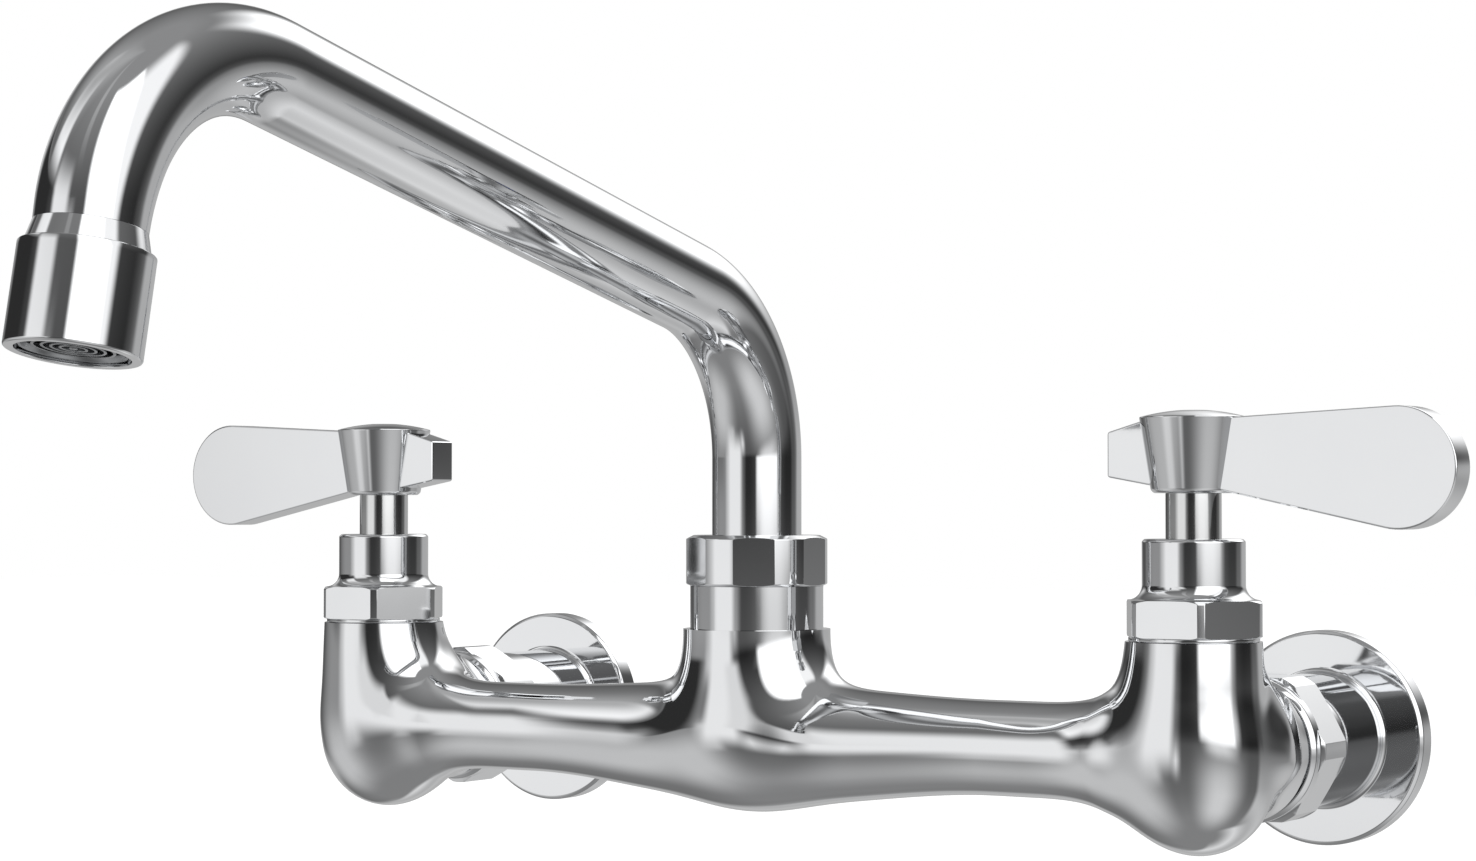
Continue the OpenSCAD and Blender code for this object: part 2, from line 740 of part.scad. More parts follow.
module handle(side) {
    rim_h = hub_h - dome_h;
    dome_r = (hub_top_r * hub_top_r + dome_h * dome_h) / (2 * dome_h);
    at_valve(side) translate([0, 0, handle_z]) color("silver") difference() {
        union() {
            intersection() {
                rotate_extrude() polygon([
                    [0, 0], [hub_foot_r - hub_foot_round, 0], [hub_foot_r, hub_foot_round],
                    [hub_top_r, rim_h], [hub_top_r, hub_h], [0, hub_h]]);
                translate([0, 0, hub_h - dome_r]) sphere(r = dome_r);
            }
            translate([0, blade_t / 2, 0]) rotate([90, 0, 0]) linear_extrude(blade_t) lever_outline();
        }
        translate([0, 0, -overrun]) linear_extrude(spline_socket_h + overrun)
            spline_outline(spline_r + push_gap, spline_root_r + push_gap);
        rod(screw_hole_r, spline_socket_h - overrun, hub_h);
        rod(screw_recess_r, screw_seat_h, hub_h);
        rod(button_recess_r, hub_h - button_t, hub_h + overrun);
    }
}

module handle_screw(side) {
    at_valve(side) translate([0, 0, handle_z + screw_seat_h]) color("lightgray") difference() {
        stepped(-screw_shank_l, [[screw_shank_r, 0], [screw_head_r, screw_head_h]]);
        translate([0, 0, screw_head_h - screw_socket_depth])
            cylinder(d = screw_socket_flats / cos(30), h = screw_socket_depth + overrun, $fn = 6);
    }
}

// Plated cap over the screw, with a recess for the coloured index
module index_button(side) {
    dome_r = (hub_top_r * hub_top_r + dome_h * dome_h) / (2 * dome_h);
    at_valve(side) translate([0, 0, handle_z]) color("silver") difference() {
        intersection() {
            rod(button_r, hub_h - button_t, hub_h);
            translate([0, 0, hub_h - dome_r]) sphere(r = dome_r);
        }
        rod(index_recess_r, hub_h - index_recess_depth, hub_h + overrun);
    }
}

module index_dot(side) {
    foot = hub_h - index_recess_depth;
    at_valve(side) translate([0, 0, handle_z]) color(side == HOT ? "firebrick" : "royalblue")
        rod(index_dot_r, foot, foot + index_dot_t);
}

// Spout

module spout_nut() {
    translate([0, -wall_to_axis, 0]) color("gainsboro") difference() {
        rotate(30) turned_hexagon(spout_nut_flats, spout_nut_over_corners, neck_top_z, spout_nut_top_z,
            nut_chamfer, spout_nut_chamfer);
        rod(spigot_top_r + thread_gap, neck_top_z - overrun, lip_foot_z);
        rod(tube_r + free_gap, lip_foot_z - overrun, spout_nut_top_z + overrun);
    }
}

module spout_bearing() {
    translate([0, -wall_to_axis, 0]) color("white")
        ring(socket_r - slide_gap, bearing_bore_r, lip_foot_z - bearing_t, lip_foot_z);
}

module spout_lower_washer() {
    translate([0, -wall_to_axis, 0]) color("whitesmoke")
        ring(socket_r - slide_gap, lower_washer_bore_r, socket_foot_z, socket_foot_z + lower_washer_t);
}

// Middle line of the tube from its foot to the outlet: each station is [forward, height, heading above the level]
function tube_path() =
    let (
        bend = [for (i = [0 : riser_bend_rings]) 90 - (90 - run_angle) * i / riser_bend_rings],
        rise = [for (i = [0 : crown_rise_rings]) run_angle * (1 - i / crown_rise_rings)],
        fall = [for (i = [1 : crown_fall_rings]) (outlet_lean - 90) * i / crown_fall_rings],
        stub_end = crown_end + outlet_stub_l * [sin(outlet_lean), -cos(outlet_lean)]
    )
    concat(
        [[0, tube_foot_z, 90]],
        [for (h = bend) [riser_bend_r * (1 - sin(h)), riser_top_z + riser_bend_r * cos(h), h]],
        [for (h = concat(rise, fall)) [crown_centre.x - crown_r * sin(h), crown_centre.y + crown_r * cos(h), h]],
        [[stub_end.x, stub_end.y, outlet_lean - 90]]);

// One tube bent twice: an outer skin and a bore swept along the middle line, closed by a ring at each end
module spout_tube() {
    path = tube_path();
    count = len(path);
    points = [for (skin_r = [tube_r, tube_r - tube_wall], station = path, k = [0 : tube_sides - 1])
        let (
            across = skin_r * cos(360 * k / tube_sides),
            up = skin_r * sin(360 * k / tube_sides),
            heading = station[2]
        )
        [across, up * sin(heading) - station[0] - wall_to_axis, up * cos(heading) + station[1]]];
    bore = count * tube_sides;
    end = (count - 1) * tube_sides;
    skins = [for (i = [0 : count - 2], k = [0 : tube_sides - 1])
        let (a = i * tube_sides + k, b = i * tube_sides + (k + 1) % tube_sides, c = a + tube_sides, d = b + tube_sides)
        each [[a, c, b], [b, c, d], [a + bore, b + bore, c + bore], [b + bore, d + bore, c + bore]]];
    rims = [for (k = [0 : tube_sides - 1])
        let (a = k, b = (k + 1) % tube_sides, c = end + a, d = end + b)
        each [[a, b, a + bore], [b, b + bore, a + bore], [c, c + bore, d], [d, c + bore, d + bore]]];
    color("silver") polyhedron(points = points, faces = concat(skins, rims));
}

module spout_collar() {
    translate([0, -wall_to_axis, 0]) color("goldenrod") difference() {
        rod(collar_r, collar_foot_z, collar_top_z);
        rod(collar_bore_r, collar_foot_z - overrun, tube_foot_z + overrun);
        rod(tube_r + push_gap, tube_foot_z, collar_top_z + overrun);
        for (i = [0, 1])
            translate([0, 0, spout_o_ring_z + i * spout_o_ring_pitch])
                ring(collar_r + overrun, socket_r - running_gap - 2 * spout_o_ring_r,
                    -spout_groove_w / 2, spout_groove_w / 2);
    }
}

module spout_o_rings() {
    translate([0, -wall_to_axis, 0]) color("#202020")
        for (i = [0, 1])
            o_ring(socket_r - running_gap, spout_o_ring_r, spout_o_ring_z + i * spout_o_ring_pitch);
}

// Outlet, measured along the falling water

flare_end = outlet_stub_l + flare_l;
outlet_end = flare_end + aerator_l;
thread_end = flare_end + outlet_thread_l;
insert_foot = outlet_end - insert_recess;
insert_seat = outlet_end - aerator_lip_t;
insert_top = thread_end + aerator_washer_t;
housing_bore_r = outlet_thread_r + thread_gap;
insert_skirt_r = aerator_mouth_r - insert_skirt_gap;
insert_plate_r = insert_skirt_r - insert_wall - slide_gap;

module outlet_adapter() {
    at_outlet() color("silver") difference() {
        union() {
            rod(adapter_spigot_r, outlet_stub_l - adapter_spigot_l, outlet_stub_l + overrun);
            translate([0, 0, outlet_stub_l]) cylinder(r1 = tube_r, r2 = flare_r, h = flare_l);
            rod(outlet_thread_r, outlet_stub_l, thread_end);
        }
        rod(adapter_bore_r, outlet_stub_l - adapter_spigot_l - overrun, thread_end + overrun);
    }
}

module aerator_housing() {
    at_outlet() color("gainsboro") difference() {
        rotate_extrude() polygon([
            [0, flare_end], [aerator_r - aerator_top_chamfer, flare_end],
            [aerator_r, flare_end + aerator_top_chamfer],
            [aerator_r, outlet_end - aerator_chamfer], [aerator_r - aerator_chamfer, outlet_end], [0, outlet_end]]);
        rod(housing_bore_r, flare_end - overrun, insert_seat);
        rod(aerator_mouth_r, flare_end, outlet_end + overrun);
    }
}

module aerator_washer() {
    at_outlet() color("#303030") ring(housing_bore_r - slide_gap, adapter_bore_r, thread_end, insert_top);
}

// Cup of the insert, with the concentric rings that show in the mouth
module aerator_insert() {
    cup_r = housing_bore_r - insert_flange_gap;
    rings_top = insert_foot - insert_ring_h;
    at_outlet() color("lightgray") {
        ring(cup_r, insert_skirt_r - insert_wall, insert_top, insert_seat);
        ring(insert_skirt_r, insert_skirt_r - insert_wall, insert_top, insert_foot);
        rod(insert_pin_r, rings_top, insert_foot - insert_recess / 2);
        for (i = [0 : insert_ring_count - 1])
            let (r = insert_ring_first_r + i * insert_ring_pitch)
            ring(r, r - insert_ring_t, rings_top, insert_foot - insert_recess / 2);
        for (i = [0 : insert_ribs - 1])
            rotate(360 / insert_ribs * i) translate([0, -insert_ring_t / 2, rings_top])
                cube([insert_skirt_r - insert_wall / 2, insert_ring_t, insert_ring_h / 2]);
    }
}

// Perforated plate that seats in the insert
module aerator_flow_plate() {
    at_outlet() color("white") difference() {
        rod(insert_plate_r, insert_top, insert_top + flow_plate_t);
        for (i = [0 : flow_hole_count - 1])
            rotate(360 / flow_hole_count * i) translate([flow_circle_r, 0, 0])
                rod(flow_hole_r, insert_top - overrun, insert_top + flow_plate_t + overrun);
    }
}

module aerator_screen() {
    screen_z = insert_top + flow_plate_t;
    reach_count = floor((insert_plate_r - 2 * screen_hole_r) / screen_hole_pitch);
    at_outlet() color("lightgray") difference() {
        rod(insert_plate_r, screen_z, screen_z + screen_t);
        for (i = [-reach_count : reach_count], j = [-reach_count : reach_count])
            if (norm([i, j]) * screen_hole_pitch < insert_plate_r - 2 * screen_hole_r)
                translate([i * screen_hole_pitch, j * screen_hole_pitch, 0])
                    rod(screen_hole_r, screen_z - overrun, screen_z + screen_t + overrun);
    }
}

body();
inlet_flange(HOT);  // hot_inlet_flange
union_nut(HOT);  // hot_union_nut
union_ring(HOT);  // hot_union_ring
union_washer(HOT);  // hot_union_washer
inlet_flange(COLD);  // cold_inlet_flange
union_nut(COLD);  // cold_union_nut
union_ring(COLD);  // cold_union_ring
union_washer(COLD);  // cold_union_washer
bonnet(HOT);  // hot_bonnet
bonnet_seal(HOT);  // hot_bonnet_seal
cartridge_housing(HOT);  // hot_cartridge_housing
fixed_disc(HOT);  // hot_fixed_disc
seat_seal(HOT);  // hot_seat_seal
thrust_washer(HOT);  // hot_thrust_washer
bonnet(COLD);  // cold_bonnet
bonnet_seal(COLD);  // cold_bonnet_seal
cartridge_housing(COLD);  // cold_cartridge_housing
fixed_disc(COLD);  // cold_fixed_disc
seat_seal(COLD);  // cold_seat_seal
thrust_washer(COLD);  // cold_thrust_washer
moving_disc(HOT);  // hot_moving_disc
stem(HOT);  // hot_stem
stem_o_rings(HOT);  // hot_stem_o_rings
handle(HOT);  // hot_handle
handle_screw(HOT);  // hot_handle_screw
index_button(HOT);  // hot_index_button
index_dot(HOT);  // hot_index_dot
moving_disc(COLD);  // cold_moving_disc
stem(COLD);  // cold_stem
stem_o_rings(COLD);  // cold_stem_o_rings
handle(COLD);  // cold_handle
handle_screw(COLD);  // cold_handle_screw
index_button(COLD);  // cold_index_button
index_dot(COLD);  // cold_index_dot
spout_nut();
spout_bearing();
spout_lower_washer();
spout_tube();
spout_collar();
spout_o_rings();
outlet_adapter();
aerator_housing();
aerator_washer();
aerator_flow_plate();
aerator_screen();
aerator_insert();
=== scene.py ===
"""Commercial wall faucet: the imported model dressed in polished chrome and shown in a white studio."""

import json
import logging
import math
from dataclasses import dataclass, field
from enum import Enum
from typing import Any, Callable, Sequence

import bmesh
import bpy
import numpy as np
from mathutils import Matrix, Vector


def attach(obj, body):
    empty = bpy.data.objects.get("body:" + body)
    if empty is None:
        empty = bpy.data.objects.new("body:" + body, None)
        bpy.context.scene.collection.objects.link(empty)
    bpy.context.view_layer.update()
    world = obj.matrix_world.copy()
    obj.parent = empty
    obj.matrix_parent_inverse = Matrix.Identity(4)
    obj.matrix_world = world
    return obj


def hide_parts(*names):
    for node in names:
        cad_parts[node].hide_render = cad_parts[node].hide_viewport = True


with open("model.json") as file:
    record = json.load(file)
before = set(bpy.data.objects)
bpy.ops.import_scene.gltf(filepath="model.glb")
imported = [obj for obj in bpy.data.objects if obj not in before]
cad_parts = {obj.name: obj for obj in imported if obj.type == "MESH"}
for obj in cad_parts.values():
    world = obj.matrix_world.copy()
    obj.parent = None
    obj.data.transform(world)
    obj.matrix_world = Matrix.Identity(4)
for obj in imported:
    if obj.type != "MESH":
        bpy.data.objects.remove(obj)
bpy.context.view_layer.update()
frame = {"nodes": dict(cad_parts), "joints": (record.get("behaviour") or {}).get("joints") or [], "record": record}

MM = 0.001
FULL_TURN = 2 * math.pi
WHITE = (1.0, 1.0, 1.0, 1.0)
# Edges that turn more than this stay sharp, in degrees
SHARP = 24.0
# Nearness in millimetres: on an axis, at one point, snapped to a cut, and lying in a cut's plane
ON_AXIS, SAME_POINT, CUT_SNAP, IN_PLANE = 1e-6, 1e-5, 1e-4, 1e-3
Profile = list[tuple[float, float]]
log = logging.getLogger("faucet")


class Side(Enum):
    """The two supplies. The value is the side of the middle that the supply is on."""

    HOT = -1
    COLD = 1

    @property
    def word(self) -> str:
        """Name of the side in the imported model."""
        return self.name.lower()


def joint_place(name: str) -> Vector:
    """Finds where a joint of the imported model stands.

    Args:
        name: The joint's name.

    Returns:
        Its place in millimetres.
    """
    joint = next(j for j in frame["joints"] if j["name"] == name)
    return Vector(joint["pos_m"]) / MM


SPOUT_AXIS = joint_place("spout_swivel")
AXIS_Y = SPOUT_AXIS.y
VALVE_X = joint_place("cold_handle_turn").x


def linear(hex_colour: str) -> tuple[float, float, float, float]:
    """Turns an sRGB hex colour to the linear values that shaders take.

    Args:
        hex_colour: Colour such as "#C0C4C8".

    Returns:
        Linear red, green, blue and an alpha of 1.
    """
    parts = [int(hex_colour[i:i + 2], 16) / 255 for i in (1, 3, 5)]
    red, green, blue = [c / 12.92 if c <= 0.04045 else ((c + 0.055) / 1.055) ** 2.4 for c in parts]
    return red, green, blue, 1.0


def add_node(
    tree: bpy.types.NodeTree,
    kind: str,
    inputs: dict[str | int, Any] | None = None,
    **settings: Any,
) -> bpy.types.Node:
    """Adds one node to a tree, with its settings and what goes into its sockets.

    Args:
        tree: Tree that takes the node.
        kind: Blender's name of the node's type.
        inputs: Constants or other nodes' outputs, by socket.
        settings: Properties of the node itself.

    Returns:
        The new node.
    """
    node = tree.nodes.new(kind)
    for name, value in settings.items():
        setattr(node, name, value)
    for socket, value in (inputs or {}).items():
        if isinstance(value, bpy.types.NodeSocket):
            tree.links.new(value, node.inputs[socket])
        else:
            node.inputs[socket].default_value = value
    return node


def empty_tree(owner: bpy.types.Material | bpy.types.World) -> bpy.types.NodeTree:
    """Gives a material or a world a node tree with nothing in it.

    Args:
        owner: The material or world.

    Returns:
        Its tree.
    """
    owner.use_nodes = True
    owner.node_tree.nodes.clear()
    return owner.node_tree


def add_object(name: str, data: bpy.types.ID) -> bpy.types.Object:
    """Makes an object and adds it to the scene.

    Args:
        name: Its name.
        data: Its mesh, camera or light.

    Returns:
        The new object.
    """
    made = bpy.data.objects.new(name, data)
    bpy.context.scene.collection.objects.link(made)
    return made


@dataclass(frozen=True)
class Finish:
    """One real material with its surface.

    A soft cloud roughens the surface a little unevenly, as handling and making leave it: the
    cloud's values over cloud_span go from the smoothest to the roughest. A bump of a finer grain
    breaks up the reflections.
    """

    name: str
    colour: str
    metallic: float = 0.0
    roughness: float = 0.4
    uneven_roughness: float = 0.05
    cloud_mm: float = 14.0
    grain_mm: float = 0.6
    grain_depth_mm: float = 0.0
    coat: float = 0.0
    tint: str | None = None
    cloud_span: tuple[float, float] = (0.3, 0.7)
    cloud_detail: float = 3.0
    grain_detail: float = 2.0
    octave_fade: float = 0.5

    def pattern(self, tree: bpy.types.NodeTree, size_mm: float, detail: float) -> bpy.types.NodeSocket:
        """Adds a noise of a real size to the tree.

        Args:
            tree: Tree that takes the noise.
            size_mm: Distance from one patch of the noise to the next.
            detail: Octaves of finer noise on it.

        Returns:
            The noise, from 0 to 1.
        """
        place = add_node(tree, "ShaderNodeTexCoord")
        noise = add_node(tree, "ShaderNodeTexNoise", {
            "Vector": place.outputs["Object"], "Scale": 1 / (size_mm * MM), "Detail": detail,
            "Roughness": self.octave_fade})
        return noise.outputs["Fac"]

    def material(self) -> bpy.types.Material:
        """Builds the node material of the finish.

        Returns:
            The new material.
        """
        made = bpy.data.materials.new(self.name)
        tree = empty_tree(made)
        cloud = self.pattern(tree, self.cloud_mm, self.cloud_detail)
        thin, thick = self.cloud_span
        uneven = self.uneven_roughness / 2
        spread = add_node(tree, "ShaderNodeMapRange", {
            "Value": cloud, "From Min": thin, "From Max": thick,
            "To Min": self.roughness - uneven, "To Max": self.roughness + uneven})
        shader = add_node(tree, "ShaderNodeBsdfPrincipled", {
            "Metallic": self.metallic, "Roughness": spread.outputs["Result"]})
        if self.coat:
            shader.inputs["Coat Weight"].default_value = self.coat
        paint = add_node(tree, "ShaderNodeMix", {
            "Factor": cloud, "A": linear(self.colour),
            "B": linear(self.tint or self.colour)}, data_type="RGBA")
        tree.links.new(paint.outputs[2], shader.inputs["Base Color"])
        if self.grain_depth_mm:
            bump = add_node(tree, "ShaderNodeBump", {
                "Strength": 1.0, "Distance": self.grain_depth_mm * MM,
                "Height": self.pattern(tree, self.grain_mm, self.grain_detail)})
            tree.links.new(bump.outputs["Normal"], shader.inputs["Normal"])
        add_node(tree, "ShaderNodeOutputMaterial", {"Surface": shader.outputs["BSDF"]})
        return made


class Shell:
    """A piece's surface while it is made, in millimetres."""

    def __init__(self) -> None:
        """Starts with nothing in it."""
        self.mesh = bmesh.new()

    def grid(self, rings: Sequence[Sequence[Vector]]) -> None:
        """Skins a row of closed rings of points. A ring of one point is a pole.

        Args:
            rings: Rings in order, each with one point or with as many as the others.
        """
        corners = [[self.mesh.verts.new(point) for point in ring] for ring in rings]
        count = max(len(ring) for ring in corners)
        for low, high in zip(corners, corners[1:]):
            for k in range(count):
                m = (k + 1) % count
                loop = [low[k % len(low)], low[m % len(low)], high[m % len(high)], high[k % len(high)]]
                face = list(dict.fromkeys(loop))
                if len(face) > 2:
                    self.mesh.faces.new(face)

    def turned(self, profile: Profile, sides: int = 144) -> None:
        """Turns a profile round the Z axis.

        Args:
            profile: Points as (radius, height), closed where the last is the first.
            sides: Straight sides of the turned skin.
        """
        angles = [FULL_TURN * k / sides for k in range(sides)]
        self.grid([
            [Vector((0, 0, z))] if r < ON_AXIS
            else [Vector((r * math.cos(a), r * math.sin(a), z)) for a in angles]
            for r, z in profile])
        bmesh.ops.remove_doubles(self.mesh, verts=self.mesh.verts, dist=SAME_POINT)

    def trimmed(self, centre: Vector, outward: Vector, edge: float = 0.0) -> None:
        """Cuts off what is beyond a plane and closes the cut with a flat face.

        Args:
            centre: Point of the plane.
            outward: Direction that is cut off.
            edge: Width of the bevel round the flat.
        """
        everything = list(self.mesh.verts) + list(self.mesh.edges) + list(self.mesh.faces)
        cut = bmesh.ops.bisect_plane(
            self.mesh, geom=everything, dist=SAME_POINT, plane_co=centre, plane_no=outward, clear_outer=True)
        rim = [e for e in cut["geom_cut"] if isinstance(e, bmesh.types.BMEdge)]
        filled = bmesh.ops.edgenet_fill(self.mesh, edges=[e for e in rim if e.is_boundary])
        if edge:
            sides = [e for face in filled["faces"] for e in face.edges]
            bmesh.ops.bevel(
                self.mesh, geom=sides, offset=edge, segments=2, profile=0.5, affect="EDGES",
                clamp_overlap=True)

    def moved(self, matrix: Matrix) -> None:
        """Moves the whole surface."""
        bmesh.ops.transform(self.mesh, matrix=matrix, verts=self.mesh.verts)

    def piece(
        self,
        name: str,
        body: str,
        finish: bpy.types.Material,
        nodes: Sequence[str],
        sharp_degrees: float = SHARP,
        slope: Callable[[np.ndarray], np.ndarray] | None = None,
    ) -> None:
        """Makes the object of the surface and says what it stands for.

        Flat faces shade flat up to their softened edges, so that they mirror as planes do.

        Args:
            name: Name of the piece.
            body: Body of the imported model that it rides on.
            finish: Its material.
            nodes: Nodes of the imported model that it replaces.
            sharp_degrees: Edges that turn more than this stay sharp.
            slope: Gives the normals of the faces of material 1, by place in millimetres.
        """
        bmesh.ops.recalc_face_normals(self.mesh, faces=self.mesh.faces)
        self.moved(Matrix.Scale(MM, 4))
        data = bpy.data.meshes.new(name)
        self.mesh.to_mesh(data)
        self.mesh.free()
        data.shade_smooth()
        data.set_sharp_from_angle(angle=math.radians(sharp_degrees))
        made = add_object(name, data)
        data.materials.append(finish)
        if slope:
            exact = slope(np.array([v.co for v in data.vertices]) / MM)
            normals = np.zeros((len(data.loops), 3))
            for face in data.polygons:
                if face.material_index:
                    normals[face.loop_indices] = exact[face.vertices]
                    face.material_index = 0
            data.normals_split_custom_set(normals)
        else:
            made.modifiers.new("flat_faces", "WEIGHTED_NORMAL").keep_sharp = True
        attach(made, body)
        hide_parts(*nodes)
        log.info("%s: %d faces, replaces %s", name, len(data.polygons), ", ".join(nodes))


def arc(centre: tuple[float, float], radius: float, start: float, end: float, steps: int = 10) -> Profile:
    """Points of a round stretch of a profile.

    Args:
        centre: Its centre, as (radius, height).
        radius: Its own radius.
        start: Angle of its first point, in degrees from the outward direction.
        end: Angle of its last point.
        steps: Straight steps along it.

    Returns:
        The points in order.
    """
    turns = [math.radians(start + (end - start) * i / steps) for i in range(steps + 1)]
    return [(centre[0] + radius * math.cos(t), centre[1] + radius * math.sin(t)) for t in turns]


def softened(
    profile: Profile,
    edge: float,
    steps: int = 3,
    side_share: float = 0.45,
    straight_degrees: float = 160.0,
) -> Profile:
    """Rounds each corner of a profile a little, as polishing does.

    Args:
        profile: Points as (radius, height).
        edge: Distance from the corner at which its rounding starts.
        steps: Straight steps round a corner.
        side_share: The most of a side that one rounding takes.
        straight_degrees: A corner opener than this stays as it is.

    Returns:
        The profile with more points.
    """
    closed = profile[0] == profile[-1]
    points = [np.array(p) for p in (profile[:-1] if closed else profile)]
    soft: list[np.ndarray] = []
    for i, corner in enumerate(points):
        if not closed and i in (0, len(points) - 1):
            soft.append(corner)
            continue
        before = points[i - 1] - corner
        after = points[(i + 1) % len(points)] - corner
        long_before, long_after = np.linalg.norm(before), np.linalg.norm(after)
        cosine = float(before @ after) / (long_before * long_after)
        if math.degrees(math.acos(max(-1.0, min(1.0, cosine)))) > straight_degrees:
            soft.append(corner)
            continue
        start = corner + before / long_before * min(edge, side_share * long_before)
        end = corner + after / long_after * min(edge, side_share * long_after)
        for k in range(steps + 1):
            t = k / steps
            soft.append((1 - t) ** 2 * start + 2 * t * (1 - t) * corner + t ** 2 * end)
    rounded = [(float(p[0]), float(p[1])) for p in soft]
    return rounded + rounded[:1] if closed else rounded


@dataclass
class CastBody:
    """The cast bridge body: two valve columns, two rear arms, the bridge and the middle boss.

    The skin is where a distance field is zero: rounded bars melted into each other. Its sizes are
    in millimetres, measured from the spout's axis. A zone says which stretch of the skin an end
    that is cut belongs to. A bore is a row of steps, each its radius and the depth of its end. The
    grid on which the skin is found reaches a few cells past it: grid_round and grid_below are in
    radii of a column's foot.
    """

    column_foot_r: float = 14.05
    column_top_r: float = 13.4
    column_foot_z: float = -5.2
    column_top_z: float = 22.9
    boss_foot_r: float = 15.4
    boss_top_r: float = 15.7
    boss_foot_z: float = 4.6
    boss_top_z: float = 23.4
    bridge_r: float = 9.7
    bridge_middle_r: float = 13.05
    bridge_depth: float = 1.07
    bridge_back: float = 0.25
    bridge_drop: tuple[float, float] = (0.3, 0.95)
    bridge_swell_l: float = 58.0
    bridge_end_l: float = 19.0
    foot_setback: float = 2.45
    foot_setback_h: float = 18.8
    setback_ease: float = 0.39
    arm_root_r: float = 13.5
    arm_tip_r: float = 14.5
    arm_start: float = 1.2
    arm_taper_l: float = 22.0
    arm_shoulder: float = 47.5
    arm_end: float = 39.4
    arm_blend: float = 7.2
    rear_blend: float = 13.8
    rear_blend_l: float = 13.3
    rear_blend_z: tuple[float, float] = (-8.7, -0.7)
    boss_blend: float = 16.7
    bridge_blend: float = 21.2
    lap: float = 1.0
    neck_r: float = 14.2
    neck_top_z: float = 32.5
    spigot_top_r: float = 12.6
    spigot_top_z: float = 40.9
    spigot_r: float = 12.15
    ring_groove_r: float = 11.4
    lip_rear: float = 42.5
    ring_seat: float = 41.0
    spout_bore_r: float = 11.4
    spout_bore_z: float = 8.0
    outlet_port_r: float = 8.0
    outlet_port_z: float = -7.0
    valve_bore: tuple[tuple[float, float], ...] = ((11.0, 9.4), (10.4, 19.4), (9.4, 22.9), (5.6, 35.9))
    inlet_port_r: float = 4.8
    inlet_port_l: float = 15.0
    boss_zone_x: float = 40.0
    boss_zone_z: float = 16.0
    valve_zone_x: float = 70.0
    column_zone_y: float = 18.0
    column_zone_z: float = 15.0
    arm_zone_y: float = 15.5
    cell: float = 1.0
    cells_past: int = 3
    grid_round: float = 1.4
    grid_below: float = 2.0
    settle_rounds: int = 4
    settle_step: float = 0.02
    polish_step: float = 0.4

    @staticmethod
    def unit(t: np.ndarray) -> np.ndarray:
        """Holds a number between 0 and 1."""
        return np.clip(t, 0.0, 1.0)

    @staticmethod
    def eased(t: np.ndarray) -> np.ndarray:
        """Goes from 0 to 1 with a soft start and end."""
        t = np.clip(t, 0.0, 1.0)
        return t * t * (3 - 2 * t)

    @staticmethod
    def melt(a: np.ndarray, b: np.ndarray, width: float | np.ndarray) -> np.ndarray:
        """Joins two distances, rounded over a width."""
        near = np.maximum(width - np.abs(a - b), 0) / width
        return np.minimum(a, b) - width * near ** 3 / 6

    def bar(self, side: tuple[np.ndarray, np.ndarray], z: np.ndarray, foot: tuple[float, float],
            head: tuple[float, float]) -> np.ndarray:
        """Distance to an upright bar with a round foot and head.

        Args:
            side: Distances from the bar's axis along X and Y.
            z: Height.
            foot: Height and radius of the foot.
            head: Height and radius of the head.

        Returns:
            The distance, under zero inside the bar.
        """
        t = self.unit((z - foot[0]) / (head[0] - foot[0]))
        far = np.sqrt(side[0] ** 2 + side[1] ** 2 + (z - foot[0] - t * (head[0] - foot[0])) ** 2)
        return far - foot[1] - t * t * (head[1] - foot[1])

    def casting(self, x: np.ndarray, y: np.ndarray, z: np.ndarray) -> np.ndarray:
        """Distance to the skin of the casting.

        Args:
            x: Distance to the side of the spout's axis.
            y: Distance behind it.
            z: Height above the inlets.

        Returns:
            The distance, under zero inside the casting.
        """
        x = np.abs(x)
        risen = (z - self.column_foot_z) / self.foot_setback_h
        risen = self.unit((risen + np.sqrt(risen ** 2 + self.setback_ease ** 2)) / 2)
        setback = self.foot_setback * (1 - risen) ** 2
        column = self.bar(
            (x - VALVE_X, y - setback), z, (self.column_foot_z, self.column_foot_r),
            (self.column_top_z + self.lap, self.column_top_r))
        boss = self.bar(
            (x, y), z, (self.boss_foot_z, self.boss_foot_r), (self.boss_top_z + self.lap, self.boss_top_r))
        swell = self.eased(1 - x / self.bridge_swell_l)
        past_end = np.maximum(x - VALVE_X + self.bridge_end_l, 0)
        drop = -self.bridge_drop[0] * (1 - swell) + self.bridge_drop[1] * swell
        bridge = np.sqrt(past_end ** 2 + ((y - self.bridge_back) / self.bridge_depth) ** 2 + (z + drop) ** 2)
        bridge = bridge - self.bridge_r - (self.bridge_middle_r - self.bridge_r) * swell
        arm_y = np.clip(y, self.arm_start, -AXIS_Y - self.arm_shoulder + self.lap)
        arm = np.sqrt((x - VALVE_X) ** 2 + (y - arm_y) ** 2 + z ** 2)
        arm = arm - self.arm_root_r - (self.arm_tip_r - self.arm_root_r) * self.unit(y / self.arm_taper_l)
        low, high = self.rear_blend_z
        behind = self.eased(y / self.rear_blend_l) * self.eased((z - low) / (high - low))
        fillet = self.arm_blend + self.rear_blend * behind
        valve = self.melt(column, arm, fillet)
        middle = self.melt(boss, bridge, self.boss_blend)
        return self.melt(valve, middle, self.bridge_blend)

    def slope(self, points: np.ndarray, step: float) -> np.ndarray:
        """Slope of the distance field.

        Args:
            points: Places, one a row.
            step: Distance over which the slope is taken.

        Returns:
            The slope along X, Y and Z at each place.
        """
        return np.stack([
            self.casting(*(points + step * axis).T) - self.casting(*(points - step * axis).T)
            for axis in np.eye(3)], 1) / (2 * step)

